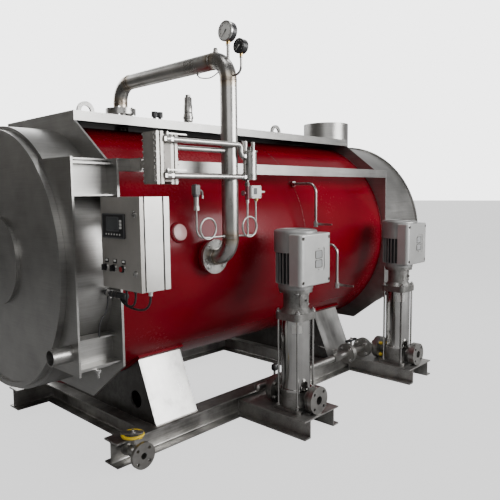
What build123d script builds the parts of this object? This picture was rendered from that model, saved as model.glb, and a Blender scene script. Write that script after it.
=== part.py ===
from build123d import *
import os
from math import sqrt, degrees, atan2, cos, sin, radians

# Horizontal steam boiler on a beam skid, millimetres.
# The model is laid out with X along the boiler from the front frame plate, Y across it with the
# pumps on the -Y side, and Z up from the ground. Every piece is then moved so that the origin is
# the middle of the footprint.

# Fits
seat = 0.3

# Pressure body
axis_height = 1071
shell_radius = 736
shell_wall = 10
shell_length = 2472
tube_plate_thickness = 14
boss_radius = 40
boss_length = 34
boss_x = 398
boss_height = 1208

# Cladding frame
frame_plate_thickness = 12
frame_opening_radius = 690
ear_half_width = 766
ear_top = 1584
ear_bottom = 579
ear_step = 92
roof_half_width = 392
roof_height = 1847
roof_fold = 50
roof_sheet = 4
frame_bottom = 360
frame_bottom_half_width = 478
rail_height = 60
rail_depth = 30
rail_sheet = 4

# Front smoke box
front_drum_radius = 708
front_drum_length = 225
front_drum_wall = 8
front_ring_width = 58
front_ring_thickness = 10
front_ear_thickness = 10
front_door_radius = 689
front_door_thickness = 40
door_rim_width = 24
door_rim_depth = 14
burner_plate_radius = 240
burner_plate_thickness = 18
arm_sheet = 8
arm_upper_shelves = ((1408, 0), (1556, 14), (1576, 44))
arm_lower_shelves = ((579, 40), (600, 0), (727, 32))
arm_panel_inset = 91
arm_shelf_inset = 22
arm_shelf_depth = 117
stub_radius = 39
stub_wall = 5
stub_length = 100
stub_y = 690
stub_height = 681

# Rear smoke box and chimney
rear_drum_radius = 752
rear_drum_wall = 8
rear_drum_length = 541
rear_rim_radius = 766
rear_rim_thickness = 14
rear_cover_radius = 752
rear_cover_thickness = 20
chimney_radius = 200
chimney_wall = 6
chimney_top = 2026
chimney_from_rear_plate = 245

# Skid
beam_height = 135
beam_width = 120
beam_flange = 10
beam_web = 8
beam_root = 9
beam_outer = 644
beam_start = 24
beam_length = 2476
cross_height = 120
cross_width = 110
cross_front_x = 220
cross_rear_x = 1876

# Saddles
saddle_front_x = 296
saddle_rear_x = 1931
saddle_length = 300
saddle_base_half = 617
saddle_top_half = 466
saddle_plate = 10
saddle_hole_radius = 51
saddle_hole_y = 432
saddle_hole_height = 245
pad_thickness = 15
pad_margin = 10
pad_extra_angle = 2.2

# Lifting lugs, caps and safety valve on the roof
lug_radius = 57
lug_hole_radius = 33
lug_thickness = 16
lug_eye_height = 64
lug_front_x = 300
lug_rear_x = 2036
cap_radius = 19
cap_height = 34
cap_stem_radius = 11
cap_top = 1957
cap_x = (808, 852)
safety_x = 1100
safety_top = 2100
safety_body_radius = 32
safety_body_height = 64
safety_bonnet_radius = 24
safety_cap_radius = 17
safety_cap_height = 26
safety_inlet_radius = 15
safety_inlet_height = 66
safety_nut_radius = 24
safety_nut_height = 18

# Steam column
pipe_radius = 44.45
pipe_wall = 3.2
pipe_bend = 114
pipe_tail = 4
column_x = 602
column_y = -911
riser_y = 82
roof_neck_rise = 78
run_height = 2115
nozzle_height = 1066
pipe_flange_radius = 95
pipe_flange_thickness = 18
pipe_bolt_circle = 150
pipe_bolt_hole = 18

# Level group
level_pipe_radius = 13.5
level_x = 70
level_near_y = -975
level_width = 101
level_bottom = 1460
level_height = 240
level_cover = 6
level_cover_margin = 12
level_plate = 16
level_gap = 8
level_body_length = 72
level_body_inset = 36
level_upper_drop = 34
level_branch_drop = 64
level_lower_rise = 39
level_arm_sheet = 8
level_arm_height = 60
level_tab_height = 36
level_tab_length = 24
lever_length = 118
lever_width = 14
lever_thickness = 5
lever_nut_radius = 7
valve_body_radius = 19
valve_body_length = 52
union_radius = 18
union_length = 14
pot_radius = 37
pot_lid_radius = 42
pot_lid_thickness = 6
pot_x = 697
pot_top_drop = 28
pot_bottom_drop = 15
pot_inlet_drop = 58
pot_elbow_x = 628
pot_elbow_bend = 20
pot_stub_radius = 9
pot_plugs = ((-18, 19, 15, 52), (12, -12, 10, 46))

# Gauges and instruments
gauge_radius = 50
gauge_depth = 42
gauge_rise = 132
gauge_small_radius = 36
gauge_small_depth = 38
gauge_small_rise = 41
gauge_small_reach = 94
gauge_nut_radius = 12
gauge_nut_height = 20
stem_radius = 8
stem_bend = 40
siphon_radius = 5
siphon_nut_radius = 9
siphon_nut_height = 16
loop_radius = 54
loop_rise = 46
loop_right_offset = 58
loop_left_offset = 72
tap_height = 1188
switch_x = 740
switch_rise = 232
switch_size = (76, 30, 68)
switch_left = 52
switch_front = 20
switch_stub_length = 41
limiter_x = 675
limiter_radius = 11
limiter_height = 72
limiter_rise = 190
limiter_stem_length = 34
limiter_wheel_radius = 14
limiter_wheel_thickness = 8
transmitter_x = 363
transmitter_rise = 142
transmitter_nut_height = 22
transmitter_sleeve_height = 56
transmitter_head = 34
transmitter_head_height = 46
transmitter_hook = 42

# Control cabinet
cabinet_width = 293
cabinet_height = 400
cabinet_depth = 127
cabinet_bottom = 1003
cabinet_gap_to_ear = 77
cabinet_sheet = 3
cabinet_lip = 22
cabinet_tray_depth = 28
cabinet_groove_width = 9
cabinet_groove_depth = 8
door_gap = 7
door_depth = 18
door_sheet = 3
hinge_offset = 8
hinge_radius = 5
hinge_length = 26
hinge_leaf = 3
hinge_leaf_reach = 12
bar_width = 40
bar_thickness = 8
bar_overlap = 24
bar_from_edge = 60
bar_from_side = 40
display_width = 168
display_height = 107
display_depth = 6
display_drop = 71
display_inset = 19
knob_base_radius = 15
knob_base_depth = 8
knob_grip = (7, 26)
knob_depth = 22
knob_insets = (28, 92)
button_radius = 13
button_depth = 15
button_inset = 162
knob_rise = 91
lock_radius = 9
lock_depth = 8
lock_inset = 40
lock_upper_drop = 72
lock_lower_rise = 77
gland_radius = 12
gland_nut_height = 12
gland_length = 26
gland_insets = (70, 140, 250)
lead_radius = 5
lead_bend = 20
lead_sag = 62
lead_sag_step = 8
bundle_radius = 15
bundle_drop = 58
bundle_x = -45
bundle_length = 168
bundle_reach = 114
bundle_ends = (102, 84, 64)
clip_width = 24
earth_lead_radius = 3.5
earth_lead_y = -722
earth_lead_step = 55

# Pumps
pump_x = (1080, 2328)
pump_y = -974
bracket_width = 333
bracket_height = 113
bracket_plate = 8
bracket_foot = 47
bracket_end = 1161
bracket_shift = 16
port_height = 83
port_half = 150
port_radius = 34
port_bore_radius = 26
port_flange_radius = 82.5
port_flange_thickness = 20
port_bolt_circle = 125
port_bolt_hole = 18
counter_flange_thickness = 26
foot_size = 208
foot_thickness = 20
base_radius = 92
base_height = 118
barrel_radius = 88
barrel_height = 433
barrel_ring_radius = 94
barrel_ring_height = 14
stay_radius = 7
stay_circle = 104
head_size = 190
head_corner = 34
head_thickness = 43
stool_flare_radius = 96
stool_flare_height = 28
stool_radius = 75
stool_height = 94
stool_flange_radius = 100
stool_flange_height = 20
stool_window_width = 78
stool_window_height = 62
stool_window_depth = 30
guard_width = 88
guard_height = 76
guard_sheet = 3
guard_plug_radius = 8
guard_plug_length = 12
motor_core_radius = 104
motor_fin_radius = 119
motor_height = 219
motor_flange_height = 33
fin_count = 28
fin_thickness = 4.5
cowl_radius = 128
cowl_height = 131
cowl_edge = 14
converter_width = 293
converter_height = 300
converter_reach = 146
converter_depth = 85
converter_lift = 29
converter_shift = 12
converter_corner = 26
converter_edge = 8
panel_width = 104
panel_height = 134
panel_depth = 4
panel_shift = 26
panel_corner = 14
screw_recess_radius = 11
screw_recess_depth = 10
screw_inset = 24

# Feed header behind the pumps
header_radius = 24.15
header_wall = 3
header_neck_radius = 34
header_neck_length = 14
header_bend = 62
header_tail = 4
header_end_x = 1004
header_pairs_x = (2003, 2222)
header_flange_radius = 75
header_flange_thickness = 18
header_bolt_circle = 110
header_bolt_hole = 18
valve_x = 2058
valve_ball_radius = 42
valve_neck_radius = 31
valve_neck_half = 54
valve_stem_radius = 9
feed_handle_height = 84
feed_handle_length = 130
feed_handle_width = 30
feed_handle_thickness = 12
tap_valve_x = 1851
tap_valve_radius = 34
tap_valve_half = 36
tap_valve_stem = 58
header_lever_length = 205
header_lever_width = 20
header_lever_thickness = 6
header_lever_rise = 76
vent_x = 1162
vent_height = 92
vent_ball_radius = 19
vent_stem_radius = 8

# Drain line
drain_x = 107
drain_height = 82
drain_pipe_radius = 21
drain_hole_clearance = 4
drain_flange_radius = 70
drain_flange_thickness = 18
drain_face_y = -762
drain_bolt_circle = 100
drain_bolt_hole = 18
drain_bend = 28
drain_bore_radius = 17
drain_bore_depth = 70
drain_collar_radius = 40
drain_collar_thickness = 14
drain_collar_y = -628
drain_channel_y = -552
drain_rise_x = 640
drain_rise_y = -400
drain_stem_y = -666
drain_body_radius = 34
drain_handle_height = 162
drain_handle_radius = 61
drain_handle_grip = 15
drain_handle_plate = 58
drain_handle_lug = 20
drain_handle_thickness = 12
drain_stem_radius = 9

# Bent tap pipes on the side of the shell
tap_pipe_radius = 9
tap_bend = 58
tap_boss_radius = 20
tap_boss_length = 26
tap_reach = 182
tap_drop = 268
tap_nut_radius = 15
tap_nut_length = 36
tap_stem_radius = 6
tap_stem_length = 8
tap_lever_length = 112
tap_lever_width = 18
tap_lever_thickness = 6
tap_lever_taper = 0.6
tap_lever_nut = 8
tap_upper_x = 1479
tap_upper_height = 1472
tap_lower_x = 1555
tap_lower_height = 1067

# Places worked out from the sizes above
front_face = 0
front_inside = frame_plate_thickness
rear_inside = front_inside + shell_length
rear_face = rear_inside + frame_plate_thickness
beam_inner = beam_outer - beam_width
beam_middle = beam_outer - beam_width / 2
bracket_back = beam_middle + beam_web / 2 + beam_root
front_drum_end = -front_drum_length
rear_drum_end = rear_face + rear_drum_length
ear_clear = ear_half_width - ear_step
bracket_top = bracket_height
pump_port_height = bracket_top + port_height
header_height = pump_port_height
header_y = pump_y + port_half + counter_flange_thickness + header_bend + header_tail
neck_top = roof_height + roof_neck_rise
level_pipe_y = column_y - pipe_radius - level_pipe_radius - seat
level_top = level_bottom + level_height
level_upper_height = level_top - level_upper_drop
level_branch_height = level_top - level_branch_drop
level_lower_height = level_bottom + level_lower_rise
level_start = level_x + level_cover + 2 * level_plate + level_gap
level_end = level_start + level_body_length + 2 * level_plate + level_gap
pot_top = level_upper_height - pot_top_drop
pot_bottom = level_lower_height - pot_bottom_drop
pot_inlet_height = level_upper_height - pot_inlet_drop
gauge_height = run_height + gauge_rise
gauge_small_height = run_height + gauge_small_rise
switch_height = tap_height + switch_rise
limiter_bottom = tap_height + limiter_rise
limiter_top = limiter_bottom + limiter_height
transmitter_bottom = tap_height + transmitter_rise
nozzle_face = column_y + pipe_bend + pipe_tail
cabinet_far = -ear_half_width - cabinet_gap_to_ear
cabinet_near = cabinet_far - cabinet_width
cabinet_back = frame_plate_thickness
cabinet_front = cabinet_back - cabinet_depth
door_back = cabinet_front - door_gap
door_front = door_back - door_depth
cabinet_top = cabinet_bottom + cabinet_height
hinge_x = cabinet_front - door_gap / 2
hinge_y = cabinet_far + hinge_offset
bundle_height = cabinet_bottom - bundle_drop
bundle_near = -ear_half_width - bundle_reach


def shell_edge(height, radius):
    return sqrt(radius ** 2 - (height - axis_height) ** 2)


def block(x0, x1, y0, y1, z0, z1):
    size = Box(x1 - x0, y1 - y0, z1 - z0)
    return Pos((x0 + x1) / 2, (y0 + y1) / 2, (z0 + z1) / 2) * size


def rod_x(radius, x0, x1, y, z):
    return Pos((x0 + x1) / 2, y, z) * Rot(0, 90, 0) * Cylinder(radius, x1 - x0)


def rod_y(radius, x, y0, y1, z):
    return Pos(x, (y0 + y1) / 2, z) * Rot(90, 0, 0) * Cylinder(radius, y1 - y0)


def rod_z(radius, x, y, z0, z1):
    return Pos(x, y, (z0 + z1) / 2) * Cylinder(radius, z1 - z0)


def hex_x(radius, x0, x1, y, z):
    return Pos(x0, y, z) * Rot(0, 90, 0) * extrude(RegularPolygon(radius, 6), amount=x1 - x0)


def hex_z(radius, x, y, z0, z1):
    return Pos(x, y, z0) * extrude(RegularPolygon(radius, 6), amount=z1 - z0)


def prism_x(points, x0, x1):
    face = make_face(Polyline(*points, close=True))
    return Pos(x0, 0, 0) * extrude(Plane.YZ * face, amount=x1 - x0)


def prism_y(points, y0, y1):
    face = make_face(Polyline(*points, close=True))
    return Pos(0, y0, 0) * extrude(Plane.XZ * face, amount=y1 - y0, dir=(0, 1, 0))


def prism_z(points, z0, z1):
    face = make_face(Polyline(*points, close=True))
    return Pos(0, 0, z0) * extrude(face, amount=z1 - z0)


def bent_rod(points, bend, radius):
    path = FilletPolyline(*points, radius=bend)
    section = Plane(origin=path @ 0, z_dir=path % 0) * Circle(radius)
    return sweep(section, path=path)


def bent_tube(points, bend, radius, wall):
    return bent_rod(points, bend, radius) - bent_rod(points, bend, radius - wall)


def flange_y(x, z, y0, y1, radius, bore, bolt_circle, bolt_hole):
    disc = rod_y(radius, x, y0, y1, z) - rod_y(bore, x, y0, y1, z)
    for turn in range(4):
        angle = radians(45 + 90 * turn)
        hole_x = x + bolt_circle / 2 * cos(angle)
        hole_z = z + bolt_circle / 2 * sin(angle)
        disc -= rod_y(bolt_hole / 2, hole_x, y0, y1, hole_z)
    return disc


def flange_x(y, z, x0, x1, radius, bore, bolt_circle, bolt_hole):
    disc = rod_x(radius, x0, x1, y, z) - rod_x(bore, x0, x1, y, z)
    for turn in range(4):
        angle = radians(45 + 90 * turn)
        hole_y = y + bolt_circle / 2 * cos(angle)
        hole_z = z + bolt_circle / 2 * sin(angle)
        disc -= rod_x(bolt_hole / 2, x0, x1, hole_y, hole_z)
    return disc


def flange_z(x, y, z0, z1, radius, bore, bolt_circle, bolt_hole):
    disc = rod_z(radius, x, y, z0, z1) - rod_z(bore, x, y, z0, z1)
    for turn in range(4):
        angle = radians(45 + 90 * turn)
        hole_x = x + bolt_circle / 2 * cos(angle)
        hole_y = y + bolt_circle / 2 * sin(angle)
        disc -= rod_z(bolt_hole / 2, hole_x, hole_y, z0, z1)
    return disc


def beam_section(width, height):
    slot_width = (width - beam_web) / 2 + beam_root
    slot = RectangleRounded(slot_width, height - 2 * beam_flange, beam_root * 0.99)
    reach = beam_web / 2 + slot_width / 2
    return Rectangle(width, height) - Pos(reach, 0) * slot - Pos(-reach, 0) * slot


def long_beam(side):
    section = Plane.YZ * beam_section(beam_width, beam_height)
    beam = Pos(beam_start, side * beam_middle, beam_height / 2) * extrude(section, amount=beam_length)
    if side < 0:
        hole = drain_pipe_radius + drain_hole_clearance
        beam -= rod_y(hole, drain_x, -beam_outer, -beam_inner, drain_height)
    return beam


def cross_beam(x):
    section = Plane.XZ * beam_section(cross_width, cross_height)
    beam = extrude(section, amount=2 * beam_inner, dir=(0, 1, 0))
    return Pos(x + cross_width / 2, -beam_inner, beam_height - cross_height / 2) * beam


def saddle(x):
    top = axis_height - sqrt((shell_radius + pad_thickness) ** 2 - saddle_top_half ** 2)
    slope = (saddle_base_half - saddle_top_half) / (top - beam_height)
    skin = saddle_plate * sqrt(1 + slope ** 2)
    outside = [(-saddle_base_half, beam_height), (-saddle_top_half, top)]
    outside += [(saddle_top_half, top), (saddle_base_half, beam_height)]
    inside = [(-saddle_base_half + skin, beam_height), (-saddle_top_half + skin, top)]
    inside += [(saddle_top_half - skin, top), (saddle_base_half - skin, beam_height)]
    body = prism_x(outside, x, x + saddle_length)
    body -= prism_x(inside, x + saddle_plate, x + saddle_length - saddle_plate)
    body -= rod_x(shell_radius + pad_thickness + seat, x, x + saddle_length, 0, axis_height)
    for side in (-1, 1):
        hole = rod_x(saddle_hole_radius, x, x + saddle_length, side * saddle_hole_y, saddle_hole_height)
        body -= hole
    return body


def saddle_pad(x):
    top = axis_height - sqrt((shell_radius + pad_thickness) ** 2 - saddle_top_half ** 2)
    half = degrees(atan2(saddle_top_half, axis_height - top)) + pad_extra_angle
    inner = shell_radius + seat
    outer = shell_radius + pad_thickness
    outer_arc = CenterArc((0, axis_height), outer, 270 - half, 2 * half)
    inner_arc = CenterArc((0, axis_height), inner, 270 - half, 2 * half)
    edges = [outer_arc, inner_arc, Line(outer_arc @ 0, inner_arc @ 0), Line(outer_arc @ 1, inner_arc @ 1)]
    face = make_face(edges)
    pad = extrude(Plane.YZ * face, amount=saddle_length + 2 * pad_margin)
    return Pos(x - pad_margin, 0, 0) * pad


def boiler_shell():
    shell = rod_x(shell_radius, front_inside, rear_inside, 0, axis_height)
    shell -= rod_x(shell_radius - shell_wall, front_inside, rear_inside, 0, axis_height)
    return shell


def shell_boss():
    reach = shell_edge(boss_height, shell_radius)
    angle = degrees(atan2(boss_height - axis_height, reach))
    cap = Cylinder(boss_radius, boss_length)
    cap = fillet(cap.edges().filter_by(GeomType.CIRCLE).sort_by(Axis.Z)[-1], boss_length / 4)
    turned = Pos(0, -shell_radius, 0) * Rot(90, 0, 0) * cap
    placed = Pos(boss_x, 0, axis_height) * Rot(-angle, 0, 0) * turned
    half = 2 * boss_radius
    return placed - rod_x(shell_radius + seat, boss_x - half, boss_x + half, 0, axis_height)


def tube_plate(x):
    radius = shell_radius - shell_wall - seat
    return rod_x(radius, x, x + tube_plate_thickness, 0, axis_height)


def frame_plate(x):
    near = [(-roof_half_width, roof_height), (-roof_half_width, roof_height - roof_fold)]
    near += [(-ear_clear, ear_top), (-ear_half_width, ear_top), (-ear_half_width, ear_bottom)]
    near += [(-frame_bottom_half_width, frame_bottom)]
    far = [(-y, z) for y, z in reversed(near)]
    plate = prism_x(near + far, x, x + frame_plate_thickness)
    return plate - rod_x(frame_opening_radius, x, x + frame_plate_thickness, 0, axis_height)


def top_plate():
    half = roof_half_width
    low = roof_height - roof_fold
    outer = block(front_inside, rear_inside, -half, half, low, roof_height)
    inner_half = half - roof_sheet
    inner_top = roof_height - roof_sheet
    inner = block(front_inside, rear_inside, -inner_half, inner_half, low, inner_top)
    return outer - inner - rod_z(pipe_radius + seat, column_x, riser_y, inner_top, roof_height)


def side_rail(side):
    outer = [(0, 0), (rail_depth, 0), (rail_depth, rail_sheet), (rail_sheet, rail_sheet)]
    outer += [(rail_sheet, rail_height - rail_sheet), (rail_depth, rail_height - rail_sheet)]
    outer += [(rail_depth, rail_height), (0, rail_height)]
    points = [(side * (ear_half_width - y), ear_top - rail_height + z) for y, z in outer]
    return prism_x(points, front_inside, rear_inside)


def front_drum():
    inner = front_drum_radius - front_drum_wall
    drum = rod_x(front_drum_radius, front_drum_end, front_face, 0, axis_height)
    drum -= rod_x(inner, front_drum_end + front_ring_thickness, front_face, 0, axis_height)
    opening = front_drum_radius - front_ring_width
    return drum - rod_x(opening, front_drum_end, front_drum_end + front_ring_thickness, 0, axis_height)


def front_ear(side):
    x0 = front_drum_end - front_ear_thickness
    inner_side = shell_edge(ear_top, front_door_radius)
    y0, y1 = sorted((side * ear_half_width, side * inner_side * 0.98))
    plate = block(x0, front_drum_end, y0, y1, ear_bottom, ear_top)
    return plate - rod_x(front_door_radius + 1, x0, front_drum_end, 0, axis_height)


def front_door():
    x0 = front_drum_end - front_door_thickness
    door = rod_x(front_door_radius, x0, front_drum_end, 0, axis_height)
    door -= rod_x(front_door_radius - door_rim_width, x0, x0 + door_rim_depth, 0, axis_height)
    plate_end = x0 + door_rim_depth
    return door + rod_x(burner_plate_radius, plate_end - burner_plate_thickness, plate_end, 0, axis_height)


def front_arm(side, shelves):
    outer = ear_half_width - arm_shelf_inset
    panel = ear_half_width - arm_panel_inset
    inner = outer - arm_shelf_depth
    low = shelves[0][0]
    high = shelves[-1][0] + arm_sheet
    slabs = [(panel - arm_sheet, panel, low, high)]
    for bottom, setback in shelves:
        slabs.append((inner, outer - setback, bottom, bottom + arm_sheet))
    arm = Part()
    for near, far, bottom, top in slabs:
        y0, y1 = sorted((side * near, side * far))
        arm += block(front_drum_end, front_face, y0, y1, bottom, top)
    return arm


def front_stub():
    x1 = front_drum_end - front_ear_thickness
    pipe = rod_x(stub_radius, x1 - stub_length, x1, -stub_y, stub_height)
    return pipe - rod_x(stub_radius - stub_wall, x1 - stub_length, x1 - stub_wall, -stub_y, stub_height)


def rear_drum():
    drum = rod_x(rear_drum_radius, rear_face, rear_drum_end, 0, axis_height)
    drum -= rod_x(rear_drum_radius - rear_drum_wall, rear_face, rear_drum_end, 0, axis_height)
    flue = chimney_radius - chimney_wall
    return drum - rod_z(flue, rear_face + chimney_from_rear_plate, 0, axis_height, chimney_top)


def rear_cover():
    rim_end = rear_drum_end + rear_rim_thickness
    cover = rod_x(rear_rim_radius, rear_drum_end, rim_end, 0, axis_height)
    return cover + rod_x(rear_cover_radius, rim_end, rim_end + rear_cover_thickness, 0, axis_height)


def chimney_collar():
    x = rear_face + chimney_from_rear_plate
    collar = rod_z(chimney_radius, x, 0, axis_height, chimney_top)
    collar -= rod_z(chimney_radius - chimney_wall, x, 0, axis_height, chimney_top)
    reach = 2 * chimney_radius
    return collar - rod_x(rear_drum_radius + seat, x - reach, x + reach, 0, axis_height)


def lifting_lug(x):
    eye = roof_height + lug_eye_height
    half = lug_thickness / 2
    lug = block(x - lug_radius, x + lug_radius, -half, half, roof_height, eye)
    lug += rod_y(lug_radius, x, -half, half, eye)
    return lug - rod_y(lug_hole_radius, x, -half, half, eye)


def top_cap(x):
    stem = rod_z(cap_stem_radius, x, 0, roof_height, cap_top - cap_height)
    return stem + rod_z(cap_radius, x, 0, cap_top - cap_height, cap_top)


def safety_valve():
    body_low = roof_height + safety_inlet_height
    body_top = body_low + safety_body_height
    cap_low = safety_top - safety_cap_height
    valve = rod_z(safety_inlet_radius, safety_x, 0, roof_height, body_low)
    valve += hex_z(safety_nut_radius, safety_x, 0, body_low - safety_nut_height, body_low)
    body = rod_z(safety_body_radius, safety_x, 0, body_low, body_top)
    valve += fillet(body.edges().filter_by(GeomType.CIRCLE), safety_body_radius / 4)
    valve += rod_z(safety_bonnet_radius, safety_x, 0, body_top, cap_low)
    return valve + rod_z(safety_cap_radius, safety_x, 0, cap_low, safety_top)


def steam_column():
    start = neck_top + pipe_flange_thickness
    corners = [(column_x, riser_y, start), (column_x, riser_y, run_height), (column_x, column_y, run_height)]
    corners += [(column_x, column_y, nozzle_height), (column_x, nozzle_face, nozzle_height)]
    return bent_tube(corners, pipe_bend, pipe_radius, pipe_wall)


def column_flanges():
    low = neck_top + pipe_flange_thickness
    top = flange_z(column_x, riser_y, low, low + pipe_flange_thickness, pipe_flange_radius,
                   pipe_radius + seat, pipe_bolt_circle, pipe_bolt_hole)
    side = flange_y(column_x, nozzle_height, nozzle_face, nozzle_face + pipe_flange_thickness,
                    pipe_flange_radius, pipe_radius - pipe_wall, pipe_bolt_circle, pipe_bolt_hole)
    return [top, side]


def roof_neck():
    top = neck_top + pipe_flange_thickness
    bore = pipe_radius - pipe_wall
    neck = rod_z(pipe_radius, column_x, riser_y, axis_height, neck_top)
    neck += flange_z(column_x, riser_y, neck_top, top, pipe_flange_radius, bore, pipe_bolt_circle,
                     pipe_bolt_hole)
    neck -= rod_z(bore, column_x, riser_y, axis_height, top)
    reach = 3 * pipe_radius
    return neck - rod_x(shell_radius + seat, column_x - reach, column_x + reach, 0, axis_height)


def water_nozzle():
    y0 = nozzle_face + pipe_flange_thickness
    y1 = y0 + pipe_flange_thickness
    flange = flange_y(column_x, nozzle_height, y0, y1, pipe_flange_radius, pipe_radius - pipe_wall,
                      pipe_bolt_circle, pipe_bolt_hole)
    neck = rod_y(pipe_radius, column_x, y1, 0, nozzle_height)
    neck -= rod_y(pipe_radius - pipe_wall, column_x, y1, 0, nozzle_height)
    reach = 3 * pipe_radius
    neck -= rod_x(shell_radius + seat, column_x - reach, column_x + reach, 0, axis_height)
    return flange + neck


def level_chamber():
    near = level_near_y
    far = level_near_y + level_width
    margin = level_cover_margin
    low = level_bottom + margin
    high = level_top - margin
    chamber = block(level_x, level_x + level_cover, near + margin, far - margin, low, high)
    start = level_x + level_cover
    for inset in (0, level_body_inset):
        second = start + level_plate + level_gap
        for x in (start, second):
            chamber += block(x, x + level_plate, near + inset, far, level_bottom, level_top)
        chamber += block(start + level_plate, second, near + inset + margin, far - margin, low, high)
        start = second + level_plate + level_body_length
    body_near = near + level_body_inset
    return chamber + block(level_start, level_start + level_body_length, body_near, far - margin, low, high)


def level_bracket():
    far = level_near_y + level_width
    middle = ear_top - rail_height / 2
    x = level_x + level_cover
    sheet = level_arm_sheet
    arm_end = far + level_tab_length
    half = level_arm_height / 2
    arm = block(x, x + sheet, arm_end, -ear_half_width, middle - half, middle + half)
    half = level_tab_height / 2
    tab_end = arm_end + level_tab_length
    return arm + block(x + sheet, x + 2 * sheet, far, tab_end, middle - half, middle + half)


def level_pipes():
    start = level_start + valve_body_length
    y = level_pipe_y
    upper = [(start, y, level_upper_height), (pot_elbow_x, y, level_upper_height)]
    upper += [(pot_elbow_x, y, pot_inlet_height), (pot_x, y, pot_inlet_height)]
    lower_pipe = rod_x(level_pipe_radius, start, pot_x, y, level_lower_height)
    nut_end = pot_x - pot_radius - 4
    pipes = []
    for pipe, height in ((bent_rod(upper, pot_elbow_bend, level_pipe_radius), pot_inlet_height),
                         (lower_pipe, level_lower_height)):
        pipe += hex_x(union_radius, nut_end - union_length, nut_end, y, height)
        pipes.append(pipe - rod_z(pot_radius + seat, pot_x, y, level_bottom, level_top))
    branch = rod_x(level_pipe_radius, level_end, column_x, column_y, level_branch_height)
    pipes.append(branch - rod_z(pipe_radius + seat, column_x, column_y, level_bottom, level_top))
    return pipes


def level_valves():
    valves = []
    for height in (level_upper_height, level_lower_height):
        x0 = level_start
        x1 = x0 + valve_body_length
        body = rod_x(valve_body_radius, x0 + union_length, x1 - union_length, level_pipe_y, height)
        for nut in (x0, x1 - union_length):
            body += hex_x(valve_body_radius, nut, nut + union_length, level_pipe_y, height)
        stem_x = x0 + valve_body_length / 2
        stem_top = height + valve_body_radius + lever_thickness
        body += rod_z(stem_radius, stem_x, level_pipe_y, height, stem_top)
        valves.append(body)
    return valves


def level_lever(height):
    stem_x = level_start + valve_body_length / 2
    y = level_pipe_y
    low = height + valve_body_radius + lever_thickness
    half = lever_width / 2
    tip = 0.6 * half
    end = stem_x + lever_length
    outline = [(stem_x - half, y - half), (stem_x + half, y - half), (end, y - tip)]
    outline += [(end, y + tip), (stem_x + half, y + half), (stem_x - half, y + half)]
    bar = prism_z(outline, low, low + lever_thickness)
    ends = bar.edges().filter_by(Axis.Z).sort_by(Axis.X)
    bar = fillet(ends[:2] + ends[-2:], tip * 0.8)
    return bar + hex_z(lever_nut_radius, stem_x, y, low + lever_thickness, low + 2 * lever_thickness)


def condensate_pot():
    y = level_pipe_y
    pot = rod_z(pot_radius, pot_x, y, pot_bottom, pot_top)
    pot += rod_z(pot_lid_radius, pot_x, y, pot_top - pot_lid_thickness, pot_top)
    for plug_x, plug_y, radius, height in pot_plugs:
        plug = rod_z(radius, pot_x + plug_x, y + plug_y, pot_top, pot_top + height)
        pot += fillet(plug.edges().filter_by(GeomType.CIRCLE).sort_by(Axis.Z)[-1], radius / 4)
    return pot + rod_z(pot_stub_radius, limiter_x, y, limiter_top, pot_bottom)


def ring_loop(x, y, z):
    return Pos(x, y - 1.6 * siphon_radius, z) * Rot(90, 0, 0) * Torus(loop_radius, siphon_radius)


def siphon_right():
    y = level_pipe_y
    step = column_y - y
    switch_low = switch_height - switch_size[2] / 2
    route = [(column_x + step / 4, column_y - step / 4, tap_height), (column_x + step, y, tap_height)]
    route += [(switch_x, y, tap_height), (switch_x, y, switch_low)]
    tube = bent_rod(route, loop_radius / 2, siphon_radius)
    tube += rod_z(siphon_radius, limiter_x, y, tap_height, limiter_bottom)
    tube += ring_loop(switch_x - loop_right_offset, y, tap_height + loop_rise)
    for x, top in ((switch_x, switch_low), (limiter_x, limiter_bottom)):
        tube += hex_z(siphon_nut_radius, x, y, top - siphon_nut_height, top)
    return tube - rod_z(pipe_radius + seat, column_x, column_y, tap_height - 50, tap_height + 50)


def siphon_left():
    end = column_x - pipe_radius
    route = [(transmitter_x, column_y, transmitter_bottom), (transmitter_x, column_y, tap_height)]
    route += [(end + 2, column_y, tap_height)]
    tube = bent_rod(route, loop_radius * 0.9, siphon_radius)
    tube += hex_x(siphon_nut_radius, end - siphon_nut_height, end + 2, column_y, tap_height)
    tube += ring_loop(transmitter_x + loop_left_offset, column_y, tap_height + loop_rise)
    return tube - rod_z(pipe_radius + seat, column_x, column_y, tap_height - 50, tap_height + 50)


def pressure_switch():
    length, depth, height = switch_size
    low = switch_height - height / 2
    left = switch_x - switch_left
    right = left + length
    near = level_pipe_y - switch_front
    body = block(left, right, near, near + depth, low, low + height)
    body = fillet(body.edges().filter_by(Axis.Y), height / 12)
    middle = near + depth / 2
    body += rod_x(stem_radius, right, right + switch_stub_length * 0.4, middle, switch_height)
    body += rod_x(stem_radius * 0.6, right, right + switch_stub_length, middle, switch_height)
    valve = rod_z(limiter_radius, limiter_x, level_pipe_y, limiter_bottom, limiter_top)
    wheel_z = (limiter_bottom + limiter_top) / 2
    wheel = limiter_x - limiter_stem_length
    valve += rod_x(limiter_radius / 3, wheel, limiter_x, level_pipe_y, wheel_z)
    valve += rod_x(limiter_wheel_radius, wheel, wheel + limiter_wheel_thickness, level_pipe_y, wheel_z)
    return [body, valve]


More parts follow.
